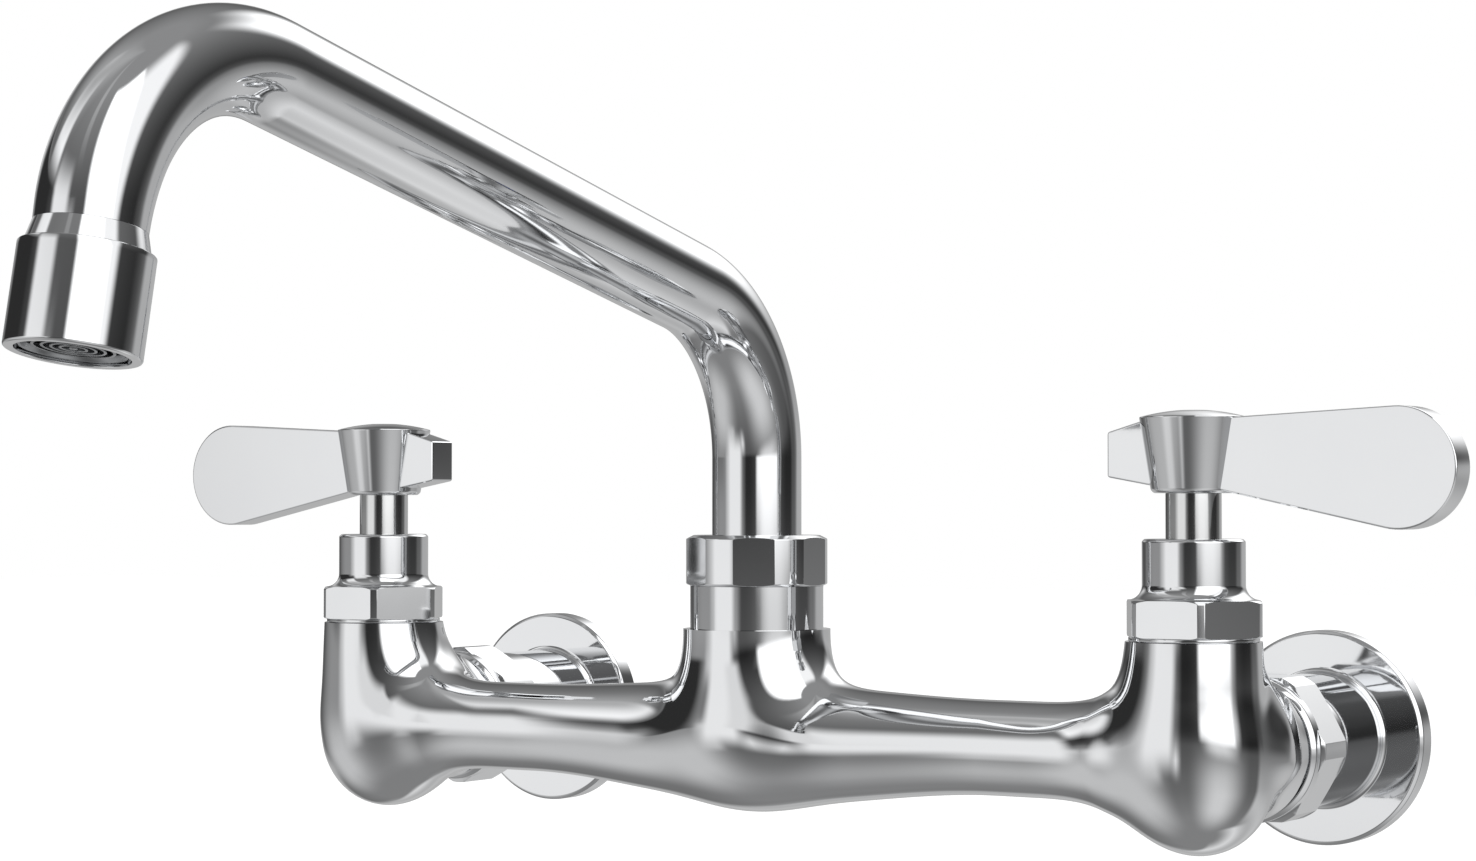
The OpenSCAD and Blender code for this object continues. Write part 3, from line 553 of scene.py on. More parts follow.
    def settled(self, points: np.ndarray) -> np.ndarray:
        """Moves points along the field's slope onto the skin.

        Args:
            points: Points near the skin, one a row.

        Returns:
            The points on the skin.
        """
        for _ in range(self.settle_rounds):
            slope = self.slope(points, self.settle_step)
            here = self.casting(*points.T)
            points = points - here[:, None] * slope / np.maximum((slope ** 2).sum(1), ON_AXIS)[:, None]
        return points

    def outward(self, points: np.ndarray) -> np.ndarray:
        """Normals of the polished skin, at places in the model's own frame."""
        slope = self.slope(points - np.array([0, AXIS_Y, 0]), self.polish_step)
        return slope / np.linalg.norm(slope, axis=1)[:, None]

    def skin(self) -> tuple[np.ndarray, np.ndarray]:
        """Finds the skin on a grid of cells: one point in each cell that it crosses.

        Returns:
            The points, and the four-sided faces as rows of their numbers.
        """
        around = self.grid_round * self.column_foot_r
        past = self.cells_past * self.cell
        axes = [
            np.arange(-VALVE_X - around, VALVE_X + around + self.cell, self.cell),
            np.arange(-around, -AXIS_Y - self.arm_shoulder + past, self.cell),
            np.arange(-self.grid_below * self.column_foot_r, self.boss_top_z + past, self.cell)]
        field_values = self.casting(*np.meshgrid(*axes, indexing="ij"))
        inside = field_values < 0
        cells = tuple(n - 1 for n in inside.shape)
        corners = [np.array([i, j, k]) for i in (0, 1) for j in (0, 1) for k in (0, 1)]

        def at(array: np.ndarray, corner: np.ndarray) -> np.ndarray:
            """The values at one corner of every cell."""
            return array[tuple(slice(c, c + n) for c, n in zip(corner, cells))]

        full = sum(at(inside, corner).astype(int) for corner in corners)
        crossed = (full > 0) & (full < len(corners))
        number = np.full(cells, -1)
        number[crossed] = np.arange(crossed.sum())
        total = np.zeros((crossed.sum(), 3))
        hits = np.zeros(crossed.sum())
        for low in corners:
            for high in corners:
                if (high - low).sum() != 1 or (high < low).any():
                    continue
                a, b = at(field_values, low)[crossed], at(field_values, high)[crossed]
                hit = (a < 0) != (b < 0)
                share = a[hit] / (a[hit] - b[hit])
                total[hit] += low + share[:, None] * (high - low)
                hits[hit] += 1
        where = np.stack(np.nonzero(crossed), 1) + total / hits[:, None]
        points = np.array([axis[0] for axis in axes]) + self.cell * where
        faces = []
        for axis in range(3):
            one, two = [a for a in range(3) if a != axis]
            middle = [slice(1, -1)] * 3
            middle[axis] = slice(0, -1)
            after = list(middle)
            after[axis] = slice(1, None)
            found = np.stack(np.nonzero(inside[tuple(middle)] != inside[tuple(after)]), 1)
            steps = [np.zeros(3, int) for _ in range(4)]
            steps[1][one] = steps[2][one] = 1
            steps[2][two] = steps[3][two] = 1
            faces.append(np.stack([number[tuple((found + step).T)] for step in steps], 1))
        return self.settled(points), np.vstack(faces)

    @staticmethod
    def cut(shell: Shell, near: Callable[[Vector], bool], centre: Vector, outward: Vector) -> list[Any]:
        """Machines one end of the casting flat and leaves it open.

        Args:
            shell: The casting.
            near: Says whether a point belongs to this end.
            centre: Point of the flat.
            outward: Direction that is cut off.

        Returns:
            The points of the open rim.
        """
        faces = [f for f in shell.mesh.faces if near(f.calc_center_median())]
        edges = {e for f in faces for e in f.edges}
        verts = {v for f in faces for v in f.verts}
        bmesh.ops.bisect_plane(
            shell.mesh, geom=[*verts, *edges, *faces], dist=CUT_SNAP, plane_co=centre, plane_no=outward,
            clear_outer=True)
        return [
            v for v in shell.mesh.verts
            if abs((v.co - centre).dot(outward)) < IN_PLANE and near(v.co)
            and any(e.is_boundary for e in v.link_edges)]

    @staticmethod
    def machined(shell: Shell, rim: list[Any], centre: Vector, outward: Vector, profile: Profile) -> None:
        """Adds a turned end inside an open rim of the casting.

        Args:
            shell: The casting.
            rim: Points of the open rim.
            centre: Point of the end's axis in the rim's plane.
            outward: Direction of the end's axis.
            profile: Points as (radius, distance out from the rim's plane), the last on the axis.
        """
        across = outward.orthogonal().normalized()
        up = outward.cross(across)
        angles = {v: math.atan2((v.co - centre).dot(up), (v.co - centre).dot(across)) for v in rim}
        ring = sorted(rim, key=lambda v: angles[v])
        turns = [angles[v] for v in ring]
        for radius, out in profile:
            place = centre + out * outward
            if radius < ON_AXIS:
                new = [shell.mesh.verts.new(place)] * len(ring)
            else:
                new = [
                    shell.mesh.verts.new(place + radius * (math.cos(t) * across + math.sin(t) * up))
                    for t in turns]
            for k in range(len(ring)):
                m = (k + 1) % len(ring)
                face = list(dict.fromkeys([ring[k], ring[m], new[m], new[k]]))
                if len(face) > 2:
                    shell.mesh.faces.new(face)
            ring = new

    def dress(self, finish: bpy.types.Material) -> None:
        """Builds the body with its machined ends and bores.

        Args:
            finish: Its material.
        """
        shell = Shell()
        points, faces = self.skin()
        verts = [shell.mesh.verts.new(point) for point in points]
        for face in faces:
            shell.mesh.faces.new([verts[i] for i in face]).material_index = 1
        up, back = Vector((0, 0, 1)), Vector((0, 1, 0))
        top = self.boss_top_z
        neck, spigot = self.neck_top_z - top, self.spigot_top_z - top
        boss = Vector((0, 0, top))
        rim = self.cut(shell, lambda p: abs(p.x) < self.boss_zone_x and p.z > self.boss_zone_z, boss, up)
        self.machined(shell, rim, boss, up, [
            (self.neck_r, 0), (self.neck_r, neck), (self.spigot_top_r, neck), (self.spigot_top_r, spigot),
            (self.spout_bore_r, spigot), (self.spout_bore_r, self.spout_bore_z - top),
            (self.outlet_port_r, self.spout_bore_z - top), (self.outlet_port_r, self.outlet_port_z - top),
            (0, self.outlet_port_z - top)])
        bore: Profile = []
        depth = 0.0
        for radius, end in self.valve_bore:
            bore += [(radius, -depth), (radius, -end)]
            depth = end
        bore.append((0, -depth))
        lip, seat, end = [
            self.arm_shoulder - place for place in (self.lip_rear, self.ring_seat, self.arm_end)]
        spigot_end = [
            (self.spigot_r, 0), (self.spigot_r, lip), (self.ring_groove_r, lip), (self.ring_groove_r, seat),
            (self.spigot_r, seat), (self.spigot_r, end), (self.inlet_port_r, end),
            (self.inlet_port_r, -self.inlet_port_l), (0, -self.inlet_port_l)]
        for side in Side:

            def at_valve(point: Vector) -> bool:
                """Says whether a point is on this side's column or arm."""
                return point.x * side.value > self.valve_zone_x

            column = Vector((side.value * VALVE_X, 0, self.column_top_z))
            rim = self.cut(
                shell, lambda p: at_valve(p) and p.z > self.column_zone_z and p.y < self.column_zone_y,
                column, up)
            self.machined(shell, rim, column, up, bore)
            arm = Vector((side.value * VALVE_X, -AXIS_Y - self.arm_shoulder, 0))
            rim = self.cut(shell, lambda p: at_valve(p) and p.y > self.arm_zone_y, arm, back)
            self.machined(shell, rim, arm, back, spigot_end)
        shell.moved(Matrix.Translation((0, AXIS_Y, 0)))
        shell.piece(
            "bridge_body", "base", finish, ["body"], sharp_degrees=30, slope=self.outward)


@dataclass
class SidePart:
    """A sub-assembly that comes twice, once for each supply."""

    side: Side

    def put(
        self,
        shell: Shell,
        where: Matrix,
        name: str,
        body: str,
        finish: bpy.types.Material,
        slot: str,
        node: str,
        sharp_degrees: float = SHARP,
    ) -> None:
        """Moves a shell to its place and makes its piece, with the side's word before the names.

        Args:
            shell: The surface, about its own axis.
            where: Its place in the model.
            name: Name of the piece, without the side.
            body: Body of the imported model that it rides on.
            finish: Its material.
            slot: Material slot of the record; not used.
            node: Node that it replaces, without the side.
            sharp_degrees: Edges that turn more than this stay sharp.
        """
        shell.moved(where)
        word = self.side.word
        shell.piece(f"{word}_{name}", body, finish, [f"{word}_{node}"], sharp_degrees)


@dataclass
class WallUnion(SidePart):
    """One wall connection: a round flange with its neck, and the union nut in front of it.

    Sizes are in millimetres, and heights are distances from the wall. The pipe thread's crests
    stand in from its pitch radius by a share of the depth of its roots.
    """

    flange_r: float = 22.9
    flange_t: float = 5.2
    flange_chamfer: float = 0.7
    fillet: float = 1.2
    neck_r: float = 14.05
    neck_end: float = 29.4
    thread_r: float = 13.2
    thread_chamfer: float = 0.8
    inlet_end: float = 37.4
    bore_r: float = 7.5
    pipe_r: float = 9.9
    pipe_l: float = 14.0
    pipe_pitch: float = 1.814
    pipe_thread_depth: float = 0.55
    pipe_crest_share: float = 0.25
    relief_inner_r: float = 12.5
    relief_outer_r: float = 20.3
    relief_depth: float = 3.0
    nut_rear: float = 29.7
    nut_flats: float = 29.2
    nut_over_corners: float = 32.0
    rear_chamfer: float = 1.4
    hex_end: float = 41.8
    collar_r: float = 15.0
    collar_end: float = 44.5
    collar_chamfer: float = 0.9
    nut_bore_r: float = 13.35
    lip_bore_r: float = 12.45
    lip_rear: float = 42.5

    def place(self) -> Matrix:
        """Turns the axis from +Z to the direction away from the wall, at the inlet."""
        return Matrix.Translation((self.side.value * VALVE_X, 0, 0)) @ Matrix.Rotation(math.pi / 2, 4, "X")

    def flange(self, finish: bpy.types.Material) -> None:
        """Builds the flange, its neck, its male thread and the female pipe thread in the wall side.

        Args:
            finish: Its material.
        """
        foot = self.neck_r + self.fillet
        root, crest = self.pipe_thread_depth, -self.pipe_thread_depth * self.pipe_crest_share
        turns = int(self.pipe_l / self.pipe_pitch)
        threads = [
            (self.pipe_r + (root if k % 2 else crest), self.pipe_pitch * (k + 1) / 2)
            for k in range(2 * turns)]
        outside = softened([
            (self.bore_r, self.inlet_end), (self.thread_r - self.thread_chamfer, self.inlet_end),
            (self.thread_r, self.inlet_end - self.thread_chamfer), (self.thread_r, self.neck_end),
            (self.neck_r, self.neck_end)], edge=0.25)
        fillet = arc((foot, self.flange_t + self.fillet), self.fillet, start=180, end=270, steps=8)
        rim = softened([
            (foot, self.flange_t), (self.flange_r - self.flange_chamfer, self.flange_t),
            (self.flange_r, self.flange_t - self.flange_chamfer), (self.flange_r, 0),
            (self.relief_outer_r, 0), (self.relief_outer_r, self.relief_depth),
            (self.relief_inner_r, self.relief_depth),
            (self.relief_inner_r, 0), (self.pipe_r + root, 0)], edge=0.2)
        shell = Shell()
        shell.turned([
            *outside, *fillet, *rim, *threads, (self.pipe_r, self.pipe_l), (self.bore_r, self.pipe_l),
            (self.bore_r, self.inlet_end)], sides=192)
        self.put(shell, self.place(), "wall_flange", "base", finish, "chrome_cast", "inlet_flange")

    def nut(self, finish: bpy.types.Material) -> None:
        """Builds the union nut: a hexagon turned over its corners, and a round collar in front.

        Args:
            finish: Its material.
        """
        r = self.nut_over_corners / 2
        step = r - self.collar_r
        shell = Shell()
        shell.turned(softened([
            (self.nut_bore_r, self.nut_rear), (r - self.rear_chamfer, self.nut_rear),
            (r, self.nut_rear + self.rear_chamfer / 2), (r, self.hex_end - step / 2),
            (r - step, self.hex_end), (self.nut_bore_r, self.hex_end),
            (self.nut_bore_r, self.nut_rear)], edge=0.2))
        first_flat = 0 if self.side is Side.HOT else 30
        hex_flats(shell, self.nut_flats, first_flat, (self.nut_rear + self.hex_end) / 2)
        shell.turned(softened([
            (self.nut_bore_r, self.hex_end - step), (self.collar_r, self.hex_end - step),
            (self.collar_r, self.collar_end - self.collar_chamfer),
            (self.collar_r - self.collar_chamfer, self.collar_end), (self.lip_bore_r, self.collar_end),
            (self.lip_bore_r, self.lip_rear), (self.nut_bore_r, self.lip_rear),
            (self.nut_bore_r, self.hex_end - step)], edge=0.25))
        self.put(
            shell, self.place(), "coupling_nut", "base", finish, "chrome_turned", "union_nut",
            sharp_degrees=18)


def hex_flats(shell: Shell, flats: float, first: float, height: float, edge: float = 0.18) -> None:
    """Mills six flats on a turned shell.

    Args:
        shell: The turned shell, about the Z axis.
        flats: Width across the flats.
        first: Direction of the first flat, in degrees from +X.
        height: A height on the flats.
        edge: Width of the bevel round each flat.
    """
    for k in range(6):
        a = math.radians(first + 60 * k)
        outward = Vector((math.cos(a), math.sin(a), 0))
        shell.trimmed(outward * flats / 2 + Vector((0, 0, height)), outward, edge)


@dataclass
class Valve(SidePart):
    """One valve above the body: seal ring, hex bonnet, stem, lever handle and index cap.

    Sizes are in millimetres. Heights that end in _z are above the inlets, and those of the handle
    that end in _h are above its foot.
    """

    bonnet_flats: float = 25.4
    bonnet_over_corners: float = 28.5
    seat_z: float = 23.8
    hex_top_z: float = 31.05
    shank_r: float = 10.85
    shank_z: float = 14.0
    neck_r: float = 10.15
    cove_r: float = 2.9
    top_z: float = 43.0
    edge: float = 0.5
    hex_chamfer: float = 0.9
    bore_r: float = 7.8
    thrust_z: float = 30.0
    gland_r: float = 6.28
    stem_neck_z: float = 39.5
    stem_hole_r: float = 5.58
    stem_r: float = 5.5
    seal_r: float = 12.9
    seal_bore_r: float = 11.0
    seal_foot_z: float = 22.9
    driver_z: float = 8.3
    driver_r: float = 7.5
    driver_t: float = 2.25
    drive_bar: tuple[float, float, float] = (13.0, 2.7, 1.1)
    stop_lug: tuple[float, float, float] = (8.95, 3.0, 1.6)
    stem_body_r: float = 6.2
    shoulder_r: float = 7.4
    shoulder_z: float = 26.1
    shoulder_t: float = 2.0
    ring_groove_r: float = 4.9
    ring_groove_w: float = 1.6
    ring_grooves: tuple[float, float] = (31.0, 34.4)
    stem_step_z: float = 39.2
    spline_r: float = 4.2
    spline_root_r: float = 3.7
    spline_relief: float = 0.2
    spline_teeth: int = 16
    spline_h: float = 8.8
    tap_r: float = 2.1
    tap_depth: float = 10.0
    handle_z: float = 52.0
    hub_h: float = 16.4
    hub_foot_r: float = 8.35
    hub_top_r: float = 10.6
    dome_h: float = 1.45
    foot_round: float = 0.6
    button_r: float = 6.2
    button_t: float = 2.0
    cap_r: float = 6.1
    index_r: float = 2.7
    index_depth: float = 1.0
    screw_recess_r: float = 4.6
    screw_seat_h: float = 10.5
    screw_hole_r: float = 2.6
    socket_h: float = 9.0
    socket_r: float = 4.27
    blade_t: float = 7.6
    blade_edge: float = 0.45
    blade_corner_degrees: float = 30.0
    blade_start: float = 6.9
    blade_foot_h: float = 2.1
    blade_top_h: float = 14.3
    tip_r: float = 11.75
    tip_at: tuple[float, float] = (43.55, 4.75)
    tail_l: float = 16.95
    tail_root_l: float = 8.0
    tail_foot_h: float = 1.55
    tail_top_h: float = 14.7
    tail_end_foot_h: float = 3.15
    tail_end_top_h: float = 12.1

    def place(self, height: float = 0.0) -> Matrix:
        """Moves from the valve's own axis, with the lever along +X, to its side.

        Args:
            height: Height above the inlets to which the origin goes.

        Returns:
            The move. The hot side mirrors the cold one.
        """
        move = Matrix.Translation((self.side.value * VALVE_X, AXIS_Y, height))
        return move if self.side is Side.COLD else move @ Matrix.Diagonal((-1, 1, 1, 1))

    def bonnet(self, finish: bpy.types.Material) -> None:
        """Builds the bonnet: a milled hexagon, a cove and a turned neck.

        Args:
            finish: Its material.
        """
        r = self.bonnet_over_corners / 2
        shell = Shell()
        lower = softened([
            (self.bore_r, self.shank_z), (self.shank_r, self.shank_z), (self.shank_r, self.seat_z),
            (r - self.edge, self.seat_z), (r, self.seat_z + self.edge / 2),
            (r, self.hex_top_z - self.hex_chamfer / 2), (r - self.hex_chamfer, self.hex_top_z),
            (self.neck_r + self.cove_r, self.hex_top_z)], edge=0.2)
        cove = arc(
            (self.neck_r + self.cove_r, self.hex_top_z + self.cove_r), self.cove_r,
            start=270, end=180, steps=12)
        upper = softened([
            cove[-1], (self.neck_r, self.top_z - self.edge), (self.neck_r - self.edge, self.top_z),
            (self.stem_hole_r, self.top_z), (self.stem_hole_r, self.stem_neck_z),
            (self.gland_r, self.stem_neck_z), (self.gland_r, self.thrust_z), (self.bore_r, self.thrust_z),
            (self.bore_r, self.shank_z)], edge=0.2)
        shell.turned([*lower, *cove[:-1], *upper])
        hex_flats(shell, self.bonnet_flats, first=30, height=(self.seat_z + self.hex_top_z) / 2)
        self.put(
            shell, self.place(), "hex_bonnet", "base", finish, "chrome_turned", "bonnet", sharp_degrees=18)

    def seal(self, finish: bpy.types.Material) -> None:
        """Builds the thin plated ring between the body and the bonnet.

        Args:
            finish: Its material.
        """
        shell = Shell()
        shell.turned(softened([
            (self.seal_bore_r, self.seal_foot_z), (self.seal_r, self.seal_foot_z), (self.seal_r, self.seat_z),
            (self.seal_bore_r, self.seat_z), (self.seal_bore_r, self.seal_foot_z)], edge=0.3, steps=5))
        self.put(
            shell, self.place(), "seal_ring", "base", finish, "chrome_turned", "bonnet_seal",
            sharp_degrees=60)

    @staticmethod
    def block(shell: Shell, size: Sequence[float], foot: Vector) -> None:
        """Adds a small block to a shell.

        Args:
            shell: Shell that takes it.
            size: Its length, width and height.
            foot: Middle of its underside.
        """
        made = bmesh.ops.create_cube(shell.mesh, size=1.0)
        matrix = Matrix.Translation(foot + Vector((0, 0, size[2] / 2))) @ Matrix.Diagonal((*size, 1))
        bmesh.ops.transform(shell.mesh, matrix=matrix, verts=made["verts"])

    def stem(self, finish: bpy.types.Material) -> None:
        """Builds the stem: driver, shoulder, two ring grooves, the shank that shows and its splined end.

        Args:
            finish: Its material.
        """
        driver_top = self.driver_z + self.driver_t
        shoulder_top = self.shoulder_z + self.shoulder_t
        end = self.handle_z + self.spline_h
        core_r = self.spline_root_r - self.spline_relief
        grooves = [
            point for z in self.ring_grooves for point in (
                (self.stem_body_r, z), (self.ring_groove_r, z), (self.ring_groove_r, z + self.ring_groove_w),
                (self.stem_body_r, z + self.ring_groove_w))]
        shell = Shell()
        shell.turned(softened([
            (0, self.driver_z), (self.driver_r, self.driver_z), (self.driver_r, driver_top),
            (self.stem_body_r, driver_top), (self.stem_body_r, self.shoulder_z),
            (self.shoulder_r, self.shoulder_z), (self.shoulder_r, shoulder_top),
            (self.stem_body_r, shoulder_top), *grooves, (self.stem_body_r, self.stem_step_z),
            (self.stem_r, self.stem_step_z),
            (self.stem_r, self.handle_z), (core_r, self.handle_z), (core_r, end), (self.tap_r, end),
            (self.tap_r, end - self.tap_depth), (0, end - self.tap_depth)], edge=0.12))
        step = FULL_TURN / self.spline_teeth
        star = [
            (self.spline_r if quarter < 2 else self.spline_root_r, (tooth + quarter / 4) * step)
            for tooth in range(self.spline_teeth) for quarter in range(4)]
        teeth = [
            [Vector((r * math.cos(a), r * math.sin(a), z)) for r, a in star] for z in (self.handle_z, end)]
        shell.grid([[Vector((0, 0, self.handle_z))], *teeth, [Vector((0, 0, end))]])
        self.block(shell, self.drive_bar, Vector((0, 0, self.driver_z - self.drive_bar[2])))
        length, _, height = self.stop_lug
        self.block(shell, self.stop_lug, Vector((length / 2, 0, driver_top - height)))
        valve = f"{self.side.word}_valve"
        self.put(shell, self.place(), "splined_stem", valve, finish, "stem_metal", "stem")

    def dome_angles(self, outer: float, inner: float) -> tuple[float, float, float]:
        """Finds a stretch of the hub's domed top.

        Args:
            outer: Radius at which the stretch starts.
            inner: Radius at which it ends.

        Returns:
            The dome's own radius, and the angles of the stretch's two ends in degrees.
        """
        dome_r = (self.hub_top_r ** 2 + self.dome_h ** 2) / (2 * self.dome_h)
        return dome_r, math.degrees(math.acos(outer / dome_r)), math.degrees(math.acos(inner / dome_r))

    def cap(self, finish: bpy.types.Material) -> None:
        """Builds the plated cap over the screw, which carries on the hub's dome round a sunk index.

        Args:
            finish: Its material.
        """
        foot, floor = self.hub_h - self.button_t, self.hub_h - self.index_depth
        dome_r, start, end = self.dome_angles(self.cap_r, self.index_r)
        top = arc((0, self.hub_h - dome_r), dome_r, start, end, steps=8)
        shell = Shell()
        shell.turned([
            (0, foot), *softened([(0, foot), (self.cap_r, foot), top[0], top[1]], edge=0.12)[1:], *top[2:-1],
            *softened([top[-2], top[-1], (self.index_r, floor), (0, floor)], edge=0.15)[1:]])
        valve = f"{self.side.word}_valve"
        self.put(
            shell, self.place(self.handle_z), "index_cap", valve, finish, "chrome_turned", "index_button")

    def side_outline(self) -> tuple[list[Vector], list[Vector]]:
        """Side view of the lever: the long blade and the short tail.

        Returns:
            Each outline as points with X along the lever and Z up.
        """
        tip = Vector(self.tip_at)

        def touch(corner: Vector, turn: int) -> float:
            """Finds where a line from a corner touches the tip's circle.

            Args:
                corner: Where the line starts.
                turn: The side of the circle that it touches, 1 or -1.

            Returns:
                The angle on the circle, in radians.
            """
            away = corner - tip
            return math.atan2(away.y, away.x) - turn * math.acos(self.tip_r / away.length)

        foot, top = Vector((0, self.blade_foot_h)), Vector((0, self.blade_top_h))
        low, high = touch(foot, -1), touch(top, 1)
        if low > high:
            low -= FULL_TURN
        steps = 40
        tip_arc = [
            tip + self.tip_r * Vector((math.cos(a), math.sin(a)))
            for a in (low + (high - low) * i / steps for i in range(steps + 1))]

        def on_line(start: Vector, end: Vector) -> Vector:
            """Point of a line at the blade's hidden start inside the hub."""
            t = (self.blade_start - start.x) / (end.x - start.x)
            return start.lerp(end, t)

        blade = [on_line(foot, tip_arc[0]), *tip_arc, on_line(top, tip_arc[-1])]
        tail = [
            Vector((-self.blade_start, self.tail_top_h)), Vector((-self.tail_root_l, self.tail_top_h)),
            Vector((-self.tail_l, self.tail_end_top_h)), Vector((-self.tail_l, self.tail_end_foot_h)),
            Vector((-self.tail_root_l, self.tail_foot_h)), Vector((-self.blade_start, self.tail_foot_h))]
        return blade, tail

    def plate(self, shell: Shell, outline: list[Vector]) -> None:
        """Adds a flat plate with softened edges, upright along the lever.

        Args:
            shell: Shell that takes the plate.
            outline: Points of its side view, in order.
        """
        half = self.blade_t / 2
        slab = bmesh.new()
        front = [slab.verts.new((p.x, -half, p.y)) for p in outline]
        back = [slab.verts.new((p.x, half, p.y)) for p in outline]
        slab.faces.new(front)
        slab.faces.new(back[::-1])
        for k in range(len(outline)):
            m = (k + 1) % len(outline)
            slab.faces.new([front[m], front[k], back[k], back[m]])
        bmesh.ops.recalc_face_normals(slab, faces=slab.faces)
        corner = math.radians(self.blade_corner_degrees)
        corners = [e for e in slab.edges if e.calc_face_angle(0) > corner]
        bmesh.ops.bevel(
            slab, geom=corners, offset=self.blade_edge, segments=3, profile=0.5, affect="EDGES",
            clamp_overlap=True)
        made = bpy.data.meshes.new("plate")
        slab.to_mesh(made)
        slab.free()
        shell.mesh.from_mesh(made)
        bpy.data.meshes.remove(made)

    def handle(self, finish: bpy.types.Material) -> None:
        """Builds the lever handle: a coned hub with a domed top, a flat blade and a short tail.

        Args:
            finish: Its material.
        """
        rim_h = self.hub_h - self.dome_h
        dome_r, start, end = self.dome_angles(self.hub_top_r, self.button_r)
        dome = arc((0, self.hub_h - dome_r), dome_r, start, end, steps=12)
        outside = softened([
            (self.socket_r, 0), (self.hub_foot_r - self.foot_round, 0), (self.hub_foot_r, self.foot_round),
            (self.hub_top_r, rim_h), dome[1]], edge=0.3)
        floor_h = self.hub_h - self.button_t
        shell = Shell()
        shell.turned([
            *outside, *dome[2:], (self.button_r, floor_h), (self.screw_recess_r, floor_h),
            (self.screw_recess_r, self.screw_seat_h), (self.screw_hole_r, self.screw_seat_h),
            (self.screw_hole_r, self.socket_h), (self.socket_r, self.socket_h),
            (self.socket_r, 0)], sides=160)
        for outline in self.side_outline():
            self.plate(shell, outline)
        valve = f"{self.side.word}_valve"
        self.put(
            shell, self.place(self.handle_z), "lever", valve, finish, "chrome_cast", "handle",
            sharp_degrees=20)


